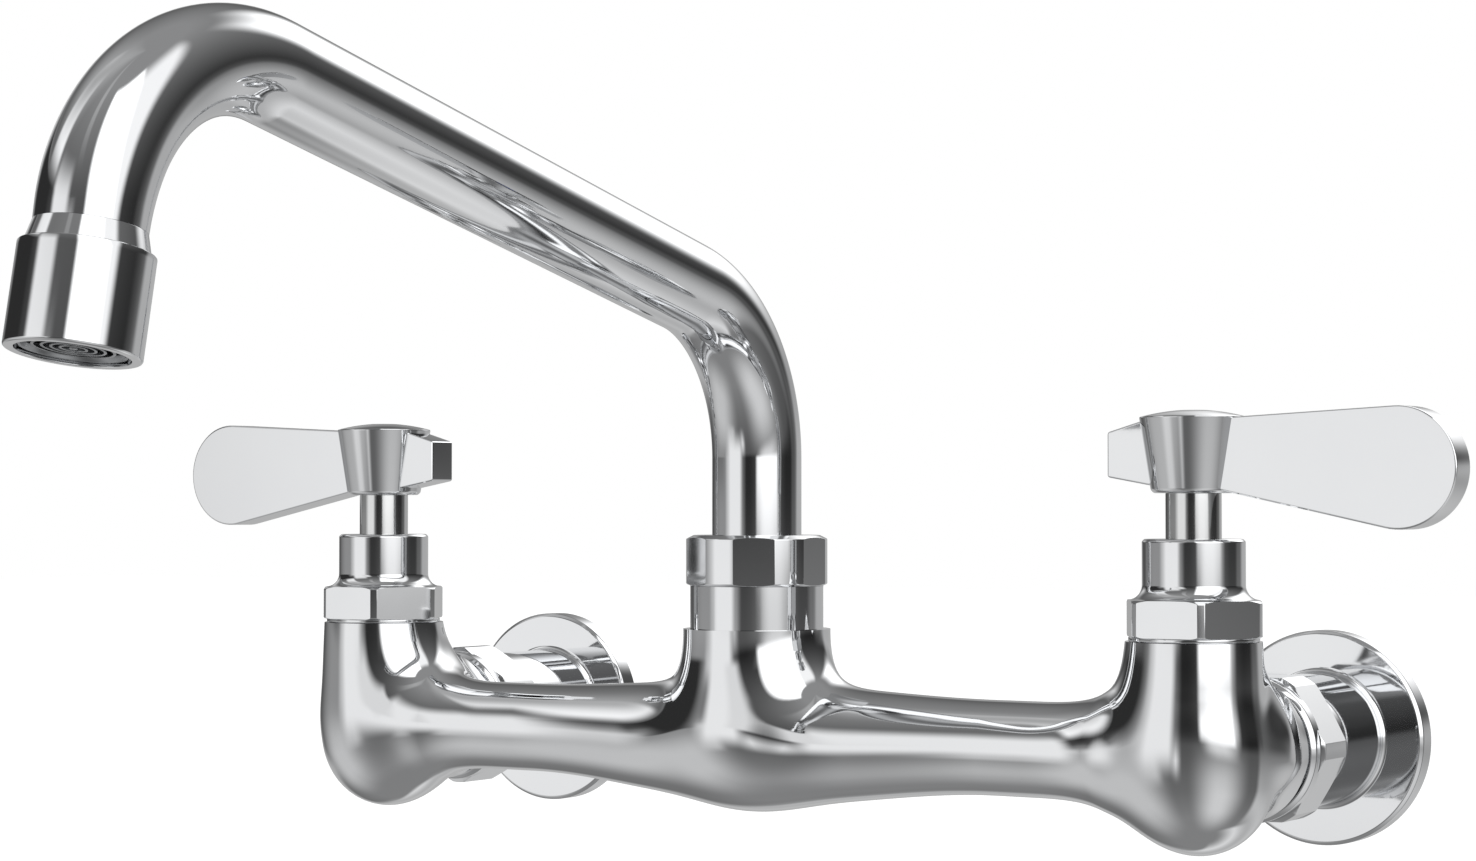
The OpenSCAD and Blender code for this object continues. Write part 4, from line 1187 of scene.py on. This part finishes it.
@dataclass
class Spout:
    """The swivel spout: its nut, the tube bent twice, the flared outlet and the aerator.

    Sizes are in millimetres. Heights are above the inlets, and outlet lengths run along the water.
    """

    reach: float = 203.2
    tube_r: float = 9.525
    tube_wall: float = 1.425
    foot_z: float = 24.0
    riser_top_z: float = 59.6
    riser_bend_r: float = 36.1
    run_degrees: float = 12.9
    crown_r: float = 35.3
    lean_degrees: float = 10.7
    stub_l: float = 2.3
    flare_l: float = 3.7
    flare_r: float = 10.2
    end_r: float = 9.25
    aerator_l: float = 17.2
    aerator_r: float = 11.1
    nut_flats: float = 28.8
    nut_over_corners: float = 30.1
    nut_foot_z: float = 32.5
    nut_top_z: float = 43.3
    nut_chamfer: float = 0.9
    nut_top_chamfer: float = 1.6
    nut_bore_r: float = 12.75
    nut_lip_r: float = 9.825
    nut_lip_z: float = 41.25
    adapter_r: float = 8.0
    adapter_l: float = 3.8
    adapter_bore_r: float = 6.8
    outlet_thread_r: float = 9.6
    outlet_thread_l: float = 6.3
    housing_bore_r: float = 9.75
    mouth_r: float = 9.3
    lip_edge: float = 0.45
    lip_t: float = 1.7
    washer_t: float = 1.6
    skirt_gap: float = 0.55
    cup_gap: float = 0.15
    cup_wall: float = 0.8
    cup_taper: float = 1.0
    cup_recess: float = 0.6
    ring_count: int = 4
    ring_first_r: float = 2.35
    ring_pitch: float = 1.47
    ring_t: float = 0.5
    ring_rear: float = 2.4
    ring_front: float = 0.3
    pin_r: float = 0.7
    rib_count: int = 6
    rib_size: tuple[float, float] = (0.5, 1.2)
    rib_middle: float = 1.8
    riser_steps: int = 8
    bend_steps: int = 40
    run_steps: int = 24
    path: list[tuple[float, float, float]] = field(init=False)
    crown_end: Vector = field(init=False)

    def __post_init__(self) -> None:
        """Works out the tube's middle line: each station is (forward, height, heading in radians)."""
        rise = math.radians(self.run_degrees)
        lean = math.radians(self.lean_degrees)
        outlet_l = self.stub_l + self.flare_l + self.aerator_l
        start = (
            self.riser_bend_r * (1 - math.sin(rise)),
            self.riser_top_z + self.riser_bend_r * math.cos(rise))
        crown_w = self.crown_r * (math.sin(rise) + math.cos(lean)) + outlet_l * math.sin(lean)
        run_l = (self.reach - start[0] - crown_w) / math.cos(rise)
        crown = (
            start[0] + run_l * math.cos(rise) + self.crown_r * math.sin(rise),
            start[1] + run_l * math.sin(rise) - self.crown_r * math.cos(rise))
        up = math.pi / 2
        along_bend = range(self.bend_steps + 1)
        first = [up - (up - rise) * i / self.bend_steps for i in along_bend]
        second = [rise - (rise + up - lean) * i / self.bend_steps for i in along_bend]
        self.crown_end = Vector((
            crown[0] + self.crown_r * math.cos(lean), crown[1] + self.crown_r * math.sin(lean)))
        riser = [
            (0.0, self.foot_z + (self.riser_top_z - self.foot_z) * i / self.riser_steps, up)
            for i in range(self.riser_steps)]
        bend = [
            (self.riser_bend_r * (1 - math.sin(h)), self.riser_top_z + self.riser_bend_r * math.cos(h), h)
            for h in first]
        run = [
            (start[0] + run_l * math.cos(rise) * i / self.run_steps,
             start[1] + run_l * math.sin(rise) * i / self.run_steps, rise)
            for i in range(1, self.run_steps)]
        turn = [
            (crown[0] - self.crown_r * math.sin(h), crown[1] + self.crown_r * math.cos(h), h) for h in second]
        stub = (
            self.crown_end.x + self.stub_l * math.sin(lean), self.crown_end.y - self.stub_l * math.cos(lean),
            lean - up)
        self.path = [*riser, *bend, *run, *turn, stub]

    def tube(self, finish: bpy.types.Material) -> None:
        """Sweeps the tube's outer skin and bore along its middle line.

        Args:
            finish: Its material.
        """
        sides = 96
        turns = [FULL_TURN * k / sides for k in range(sides)]

        def ring(station: tuple[float, float, float], radius: float) -> list[Vector]:
            """Points of the tube round one station.

            Args:
                station: The station, as (forward, height, heading).
                radius: Radius of the ring.

            Returns:
                The points in order.
            """
            ahead, height, heading = station
            return [
                Vector((
                    radius * math.cos(t), AXIS_Y - ahead + radius * math.sin(t) * math.sin(heading),
                    height + radius * math.sin(t) * math.cos(heading)))
                for t in turns]

        bore_r = self.tube_r - self.tube_wall
        drawn_in = 8
        skin = [self.tube_r] * (len(self.path) - drawn_in)
        skin += [
            self.tube_r + (self.end_r - self.tube_r) * (k / drawn_in) ** 2 for k in range(1, drawn_in + 1)]
        shell = Shell()
        shell.grid([
            *[ring(station, radius) for station, radius in zip(self.path, skin)],
            *[ring(station, bore_r) for station in self.path[::-1]], ring(self.path[0], self.tube_r)])
        bmesh.ops.remove_doubles(shell.mesh, verts=shell.mesh.verts, dist=SAME_POINT)
        shell.piece("bent_tube", "spout", finish, ["spout_tube"], sharp_degrees=40)

    def nut(self, finish: bpy.types.Material) -> None:
        """Builds the hexagon nut that holds the spout down.

        Args:
            finish: Its material.
        """
        r = self.nut_over_corners / 2
        low, high, chamfer, top = self.nut_foot_z, self.nut_top_z, self.nut_chamfer, self.nut_top_chamfer
        shell = Shell()
        shell.turned(softened([
            (self.nut_bore_r, low), (r - chamfer, low), (r, low + chamfer / 2), (r, high - top / 2),
            (r - top, high), (self.nut_lip_r, high), (self.nut_lip_r, self.nut_lip_z),
            (self.nut_bore_r, self.nut_lip_z), (self.nut_bore_r, low)], edge=0.2))
        hex_flats(shell, self.nut_flats, first=0, height=(low + high) / 2)
        shell.moved(Matrix.Translation((0, AXIS_Y, 0)))
        shell.piece("swivel_nut", "base", finish, ["spout_nut"], sharp_degrees=12)

    def at_outlet(self) -> Matrix:
        """Turns +Z to the direction of the falling water, at the end of the crown."""
        return (
            Matrix.Translation((0, AXIS_Y - self.crown_end.x, self.crown_end.y))
            @ Matrix.Rotation(math.pi - math.radians(self.lean_degrees), 4, "X"))

    def outlet(self, chrome: bpy.types.Material, steel: bpy.types.Material) -> None:
        """Builds the flared end of the tube, the aerator's housing and the rings in its mouth.

        Args:
            chrome: Material of the flared end and the housing.
            steel: Material of the rings.
        """
        flare_end = self.stub_l + self.flare_l
        thread_end = flare_end + self.outlet_thread_l
        foot = self.stub_l - self.adapter_l
        adapter = Shell()
        adapter.turned(softened([
            (self.adapter_bore_r, foot), (self.adapter_r, foot), (self.adapter_r, self.stub_l),
            (self.end_r, self.stub_l), (self.flare_r, flare_end), (self.outlet_thread_r, flare_end),
            (self.outlet_thread_r, thread_end), (self.adapter_bore_r, thread_end),
            (self.adapter_bore_r, foot)], edge=0.1))
        adapter.moved(self.at_outlet())
        adapter.piece("flared_end", "spout", chrome, ["outlet_adapter"])
        end = flare_end + self.aerator_l
        seat = end - self.lip_t
        edge = self.lip_edge
        lip = arc((self.aerator_r - edge, end - edge), edge, start=0, end=90, steps=6)
        # The last point lies a little way down the side, so that the corner before it is softened too
        rim = softened([
            (self.mouth_r, seat), (self.housing_bore_r, seat), (self.housing_bore_r, flare_end),
            (self.aerator_r, flare_end), (self.aerator_r, flare_end + 1)], edge=0.25)
        housing = Shell()
        inside = softened([lip[-1], (self.mouth_r, end), (self.mouth_r, seat)], edge=0.2)
        housing.turned([*rim, *lip, *inside[1:]])
        housing.moved(self.at_outlet())
        housing.piece("aerator_shell", "spout", chrome, ["aerator_housing"])
        self.insert(steel, thread_end + self.washer_t, seat, end)

    def insert(self, steel: bpy.types.Material, top: float, seat: float, end: float) -> None:
        """Builds the aerator's insert: a cup with concentric rings on ribs, round a middle pin.

        Args:
            steel: Its material.
            top: Where the cup starts, along the water.
            seat: Where the cup's flange rests on the housing's lip.
            end: Lower end of the housing.
        """
        cup_r, skirt_r = self.housing_bore_r - self.cup_gap, self.mouth_r - self.skirt_gap
        middle_r, bore_r = skirt_r - self.cup_wall / 2, skirt_r - self.cup_wall
        face = end - self.cup_recess
        rear, front = face - self.ring_rear, face - self.ring_front
        shell = Shell()
        shell.turned(softened([
            (bore_r, top), (cup_r, top), (cup_r, seat), (skirt_r, seat), (skirt_r, face), (middle_r, face),
            (bore_r, face - self.cup_taper), (bore_r, top)], edge=0.12))
        for k in range(self.ring_count):
            r = self.ring_first_r + self.ring_pitch * k
            inner_r = r - self.ring_t
            shell.turned(softened(
                [(inner_r, rear), (r, rear), (r, front), (inner_r, front), (inner_r, rear)], edge=0.1))
        shell.turned(softened([(0, rear), (self.pin_r, rear), (self.pin_r, front), (0, front)], edge=0.15))
        for k in range(self.rib_count):
            rib = bmesh.ops.create_cube(shell.mesh, size=1.0)
            matrix = (
                Matrix.Rotation(FULL_TURN * k / self.rib_count, 4, "Z")
                @ Matrix.Translation((middle_r / 2, 0, face - self.rib_middle))
                @ Matrix.Diagonal((middle_r, *self.rib_size, 1)))
            bmesh.ops.transform(shell.mesh, matrix=matrix, verts=rib["verts"])
        shell.moved(self.at_outlet())
        shell.piece("aerator_rings", "spout", steel, ["aerator_insert"], sharp_degrees=30)


@dataclass(frozen=True)
class Panel:
    """A soft light or a pale patch of the studio, as the faucet sees it. Angles are in degrees.

    The azimuth runs from +X towards +Y. A lean is how far the patch moves round for each degree up.
    """

    azimuth: float
    width: float
    elevation: float
    height: float
    brightness: float
    side_softness: float = 8.0
    edge_softness: float = 8.0
    lean: float = 0.0


@dataclass
class Studio:
    """White studio: floor, camera, lamp, and the softboxes and dark walls that the chrome mirrors.

    Sizes are in millimetres and angles in degrees. The camera's pixels are those of the picture,
    image_w by image_h. The walls go from their darker shade at the horizon to the paler one at
    wall_top, and the floor from its darker shade to the paler one at floor_bottom. The panels lie
    over them, each over those before it in the order of the fields.
    """

    image_w: float = 1476.0
    image_h: float = 861.0
    focal_px: float = 3169.66
    centre_px: tuple[float, float] = (796.52, 421.59)
    sensor_mm: float = 36.0
    camera_at: tuple[float, float, float] = (362.191, -640.877, 49.496)
    camera_tilt: float = 91.523
    camera_turn: float = 31.653
    floor_z: float = -150.0
    floor_half_w: float = 6000.0
    floor_grain_mm: float = 500.0
    floor_lift: float = 0.4
    plain_light: float = 0.55
    lamp_strength: float = 1.1
    lamp_spread: float = 40.0
    lamp_direction: tuple[float, float, float] = (0.3, 0.35, -1.3)
    wall_dark: tuple[float, float] = (0.015, 0.31)
    wall_top: float = 70.0
    floor_gloss: tuple[float, float] = (0.093, 0.261)
    floor_bottom: float = -60.0
    horizon: tuple[float, float] = (-3.5, 1.5)
    floor_rear: Panel = Panel(-153.5, 61.5, -31.5, 54.5, 0.64, 50, 40, -0.1)
    floor_front: Panel = Panel(-29.5, 55.5, -37, 54, 0.74, 50, 40, 0.09)
    floor_right: Panel = Panel(87, 95.5, -25.5, 33, 0.6, 12, 35, 0.19)
    floor_right_near: Panel = Panel(75, 77, -53, 15.5, 0.88, 12, 24.5, 1.26)
    floor_right_far: Panel = Panel(121.5, 74, -13.5, 25.5, 0.48, 21, 15, -1.6)
    floor_under_left_box: Panel = Panel(-130, 24, -8.5, 28, 0.6, 12, 8, -0.19)
    floor_beside_key: Panel = Panel(-93.5, 6, -10.5, 13.5, 1.02, 12, 16, 0.07)
    far_floor_left: Panel = Panel(173, 76.5, 11, 4.5, 1.35, 42.5, 26.5, -1.59)
    far_floor_right: Panel = Panel(97.5, 58, 1.5, 10, 0.53, 14, 16, 1.04)
    floor_under_key: Panel = Panel(-31, 37, 0.5, 13.5, 0.74, 28.5, 8, -0.98)
    key_edge: Panel = Panel(-6, 50, 32, 61, 1.15, 14, 16, 0.5)
    key_softbox: Panel = Panel(-33.5, 55, 33.5, 67, 1.64, 8, 4, -0.08)
    left_softbox: Panel = Panel(-116, 36, 8, 41.5, 0.99, 12, 20, 0)
    left_softbox_edge: Panel = Panel(-96.5, 18.5, 11.5, 17, 0.85, 12, 4.5, 0.35)
    rear_left_softbox: Panel = Panel(-160.5, 31, 45.5, 35.5, 1.22, 9.5, 13.5, -0.35)
    right_softbox: Panel = Panel(88.5, 44.5, 32, 30, 2.2, 20, 29, -0.3)
    rear_top_glow: Panel = Panel(-165, 45, 62, 50, 0.46, 45, 33, 0.4)
    ceiling_left: Panel = Panel(-99.5, 11.5, 65, 30, 0.47, 5.5, 40, -0.44)
    dark_rear_left: Panel = Panel(-174, 60, 11, 20.5, 0.03, 24, 2, 0.5)

    @property
    def panels(self) -> list[Panel]:
        """The patches in the order in which each covers those before it."""
        return [value for value in vars(self).values() if isinstance(value, Panel)]

    def camera(self) -> None:
        """Puts the camera where the photograph was taken from."""
        data = bpy.data.cameras.new("studio_camera")
        data.sensor_width = self.sensor_mm
        data.lens = self.focal_px / self.image_w * data.sensor_width
        data.shift_x = (self.image_w / 2 - self.centre_px[0]) / self.image_w
        data.shift_y = (self.centre_px[1] - self.image_h / 2) / self.image_w
        data.clip_start = 0.01
        made = add_object("studio_camera", data)
        made.location = Vector(self.camera_at) * MM
        made.rotation_euler = (math.radians(self.camera_tilt), 0, math.radians(self.camera_turn))
        bpy.context.scene.camera = made

    def floor(self) -> None:
        """Lays the pale paper floor. It keeps the faucet's shadow and is white to the camera where lit."""
        made = bpy.data.materials.new("white_paper_sweep")
        tree = empty_tree(made)
        place = add_node(tree, "ShaderNodeTexCoord")
        grain = add_node(tree, "ShaderNodeTexNoise", {
            "Vector": place.outputs["Object"], "Scale": 1 / (self.floor_grain_mm * MM), "Detail": 2.0})
        paper = add_node(tree, "ShaderNodeMix", {
            "Factor": grain.outputs["Fac"], "A": linear("#E8E8E8"), "B": linear("#ECECEC")}, data_type="RGBA")
        matt = add_node(tree, "ShaderNodeBsdfDiffuse", {"Color": paper.outputs[2]})
        rays = add_node(tree, "ShaderNodeLightPath")
        lift = add_node(tree, "ShaderNodeMath", {
            0: rays.outputs["Is Camera Ray"], 1: self.floor_lift}, operation="MULTIPLY")
        white = add_node(tree, "ShaderNodeEmission", {"Color": WHITE, "Strength": lift.outputs[0]})
        both = add_node(tree, "ShaderNodeAddShader", {0: matt.outputs["BSDF"], 1: white.outputs["Emission"]})
        add_node(tree, "ShaderNodeOutputMaterial", {"Surface": both.outputs["Shader"]})
        sheet = bmesh.new()
        bmesh.ops.create_grid(sheet, x_segments=8, y_segments=8, size=self.floor_half_w * MM)
        data = bpy.data.meshes.new("studio_floor")
        sheet.to_mesh(data)
        sheet.free()
        data.materials.append(made)
        laid = add_object("studio_floor", data)
        laid.location = (0, 0, self.floor_z * MM)
        laid.visible_glossy = False

    @staticmethod
    def fade(
        tree: bpy.types.NodeTree,
        away: bpy.types.NodeSocket,
        span: float,
        softness: float,
    ) -> bpy.types.NodeSocket:
        """Fades from 1 inside a span to 0 outside it.

        Args:
            tree: The world's tree.
            away: Angle from the middle of the span, with either sign.
            span: Whole width of the span, to the middle of its soft edges.
            softness: Width over which it fades at each end.

        Returns:
            The faded value.
        """
        off = add_node(tree, "ShaderNodeMath", {0: away}, operation="ABSOLUTE")
        faded = add_node(tree, "ShaderNodeMapRange", {
            "Value": off.outputs[0], "From Min": span / 2 - softness / 2, "From Max": span / 2 + softness / 2,
            "To Min": 1.0, "To Max": 0.0}, interpolation_type="SMOOTHSTEP")
        return faded.outputs["Result"]

    def room(self, tree: bpy.types.NodeTree) -> bpy.types.NodeSocket:
        """Draws what the chrome mirrors: dark walls, a glossy floor, and the panels over them.

        Args:
            tree: The world's tree.

        Returns:
            The brightness in each direction.
        """
        place = add_node(tree, "ShaderNodeTexCoord")
        parts = add_node(tree, "ShaderNodeSeparateXYZ", {0: place.outputs["Generated"]}).outputs
        around = add_node(tree, "ShaderNodeMath", {
            0: parts["Y"], 1: parts["X"]}, operation="ARCTAN2").outputs[0]
        azimuth = add_node(tree, "ShaderNodeMath", {0: around}, operation="DEGREES").outputs[0]
        raised = add_node(tree, "ShaderNodeMath", {0: parts["Z"]}, operation="ARCSINE").outputs[0]
        elevation = add_node(tree, "ShaderNodeMath", {0: raised}, operation="DEGREES").outputs[0]
        walls, ground = [
            add_node(tree, "ShaderNodeMapRange", {
                "Value": elevation, "From Max": far,
                "To Min": near_shade, "To Max": far_shade}).outputs["Result"]
            for far, (near_shade, far_shade) in (
                (self.wall_top, self.wall_dark), (self.floor_bottom, self.floor_gloss))]
        above = add_node(tree, "ShaderNodeMapRange", {
            "Value": elevation, "From Min": self.horizon[0], "From Max": self.horizon[1]},
            interpolation_type="SMOOTHSTEP")
        shade = add_node(tree, "ShaderNodeMix", {
            "Factor": above.outputs["Result"], "A": ground, "B": walls}).outputs[0]
        for panel in self.panels:
            up = add_node(tree, "ShaderNodeMath", {
                0: elevation, 1: panel.elevation}, operation="SUBTRACT").outputs[0]
            turned = add_node(tree, "ShaderNodeMath", {
                0: up, 1: -panel.lean, 2: azimuth}, operation="MULTIPLY_ADD").outputs[0]
            off = add_node(tree, "ShaderNodeMath", {
                0: turned, 1: panel.azimuth}, operation="SUBTRACT").outputs[0]
            across = add_node(tree, "ShaderNodeMath", {
                0: off, 1: -180.0, 2: 180.0}, operation="WRAP").outputs[0]
            both = add_node(tree, "ShaderNodeMath", {
                0: self.fade(tree, across, panel.width, panel.side_softness),
                1: self.fade(tree, up, panel.height, panel.edge_softness)}, operation="MULTIPLY").outputs[0]
            shade = add_node(tree, "ShaderNodeMix", {
                "Factor": both, "A": shade, "B": panel.brightness}).outputs[0]
        return shade

    def world(self) -> None:
        """Builds the world: plain light, white behind the faucet, and the room for the chrome to mirror."""
        made = bpy.data.worlds.new("studio_room")
        bpy.context.scene.world = made
        tree = empty_tree(made)
        mirrored, plain, white = [
            add_node(tree, "ShaderNodeBackground", {"Color": WHITE, "Strength": strength})
            for strength in (self.room(tree), self.plain_light, 1.0)]
        rays = add_node(tree, "ShaderNodeLightPath")
        lit = add_node(tree, "ShaderNodeMixShader", {
            0: rays.outputs["Is Glossy Ray"], 1: plain.outputs[0], 2: mirrored.outputs[0]})
        seen = add_node(tree, "ShaderNodeMixShader", {
            0: rays.outputs["Is Camera Ray"], 1: lit.outputs[0], 2: white.outputs[0]})
        add_node(tree, "ShaderNodeOutputWorld", {"Surface": seen.outputs[0]})

    def lamp(self) -> None:
        """Hangs a wide diffused lamp over the faucet, for its shadow on the floor."""
        data = bpy.data.lights.new("overhead_diffuser", "SUN")
        data.energy = self.lamp_strength
        data.angle = math.radians(self.lamp_spread)
        made = add_object("overhead_diffuser", data)
        made.rotation_euler = Vector(self.lamp_direction).to_track_quat("-Z", "Y").to_euler()
        made.visible_glossy = False


# Chrome plate on the polished casting: a bright mirror that waves a little, as hand polishing leaves it
CHROME_CAST = Finish(
    "chrome_plated_cast_brass", "#E7E8E9", 1.0, 0.045, 0.02, 18.0, 9.0, 0.002, tint="#E3E4E6")
# Chrome plate on turned brass: a cleaner mirror, so that the nuts' flats read as planes
CHROME_TURNED = Finish("chrome_plated_turned_brass", "#E7E8E9", 1.0, 0.05, 0.03, 9.0, tint="#E3E4E6")
# Chrome plate on drawn tube: the sharpest mirror, with long straight reflections
CHROME_TUBE = Finish(
    "chrome_plated_brass_tube", "#E8E9EA", 1.0, 0.045, 0.02, 24.0, 12.0, 0.002, tint="#E4E5E7")
# Chrome plate on the stem: a little duller, since the spindle is not buffed
STEM = Finish("chrome_plated_brass_stem", "#DDDEDE", 1.0, 0.09, 0.05, 6.0, tint="#D7D8D8")
# Bare turned brass: yellow and softly shiny, seen only inside
BRASS = Finish("turned_brass", "#C9A45C", 1.0, 0.22, 0.1, 5.0, tint="#BE9850")
# Stainless steel: grey and satin, with a fine grain
STEEL = Finish("stainless_steel", "#B4B5B6", 1.0, 0.3, 0.1, 5.0, 0.4, 0.004, tint="#A6A8AA")
# Satin steel of the aerator's rings, with painted shade: coloured darker than the chrome round them, so the mouth
# reads as deep
INSERT_WITH_PAINTED_SHADE = Finish("satin_stainless_rings_painted_shade", "#AEB0B2", 1.0, 0.28, 0.08, 3.0, tint="#9C9EA0")
# Nitrile rubber: nearly black and dull
RUBBER = Finish("moulded_nitrile_rubber", "#1C1C1D", 0.0, 0.55, 0.15, 3.0, 0.3, 0.01, tint="#242425")
# Skived PTFE: milky white with a waxy sheen
PTFE = Finish("skived_ptfe", "#EDEDE8", 0.0, 0.45, 0.1, 4.0, 0.5, 0.004, tint="#E4E4DE")
# Moulded acetal: warm white with a smooth sheen
ACETAL = Finish("moulded_acetal", "#E6E5DF", 0.0, 0.35, 0.1, 6.0, tint="#DDDCD5")
# Lapped alumina: hard, bright and almost mirror flat
CERAMIC = Finish("lapped_alumina", "#F0EDE4", 0.0, 0.16, 0.06, 4.0, tint="#E8E4DA")
# Red acrylic index: clear glossy skin over the colour
INDEX_RED = Finish("red_moulded_acrylic", "#B3191C", 0.0, 0.12, 0.05, 5.0, coat=0.4, tint="#A81518")
# Blue acrylic index: clear glossy skin over the colour
INDEX_BLUE = Finish("blue_moulded_acrylic", "#1D4FB0", 0.0, 0.12, 0.05, 5.0, coat=0.4, tint="#1846A2")

SLOT_FINISHES = {
    "chrome_cast": CHROME_CAST, "chrome_turned": CHROME_TURNED, "chrome_tube": CHROME_TUBE,
    "stem_metal": STEM, "brass": BRASS, "steel": STEEL, "insert_steel": INSERT_WITH_PAINTED_SHADE, "rubber": RUBBER,
    "ptfe": PTFE, "acetal": ACETAL, "ceramic": CERAMIC, "index_red": INDEX_RED, "index_blue": INDEX_BLUE,
}


def dress_nodes(materials: dict[str, bpy.types.Material]) -> None:
    """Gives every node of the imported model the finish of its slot.

    Args:
        materials: Materials by slot.
    """
    for part in frame["record"]["subparts"]:
        node = frame["nodes"][part["node"]]
        node.data.materials.clear()
        node.data.materials.append(materials[part["material_slot"]])
        node.data.shade_smooth()
        node.data.set_sharp_from_angle(angle=math.radians(SHARP))


def main() -> None:
    """Builds the studio and the faucet's pieces in order."""
    logging.basicConfig(level=logging.INFO, format="%(message)s")
    studio = Studio()
    studio.camera()
    studio.floor()
    studio.world()
    studio.lamp()
    materials = {slot: finish.material() for slot, finish in SLOT_FINISHES.items()}
    dress_nodes(materials)
    CastBody().dress(materials["chrome_cast"])
    for side in Side:
        union = WallUnion(side)
        union.flange(materials["chrome_cast"])
        union.nut(materials["chrome_turned"])
        valve = Valve(side)
        valve.seal(materials["chrome_turned"])
        valve.bonnet(materials["chrome_turned"])
        valve.stem(materials["stem_metal"])
        valve.handle(materials["chrome_cast"])
        valve.cap(materials["chrome_turned"])
    spout = Spout()
    spout.nut(materials["chrome_turned"])
    spout.tube(materials["chrome_tube"])
    spout.outlet(materials["chrome_turned"], materials["insert_steel"])
    bpy.context.scene.view_settings.view_transform = "Standard"


if __name__ == "__main__":
    main()
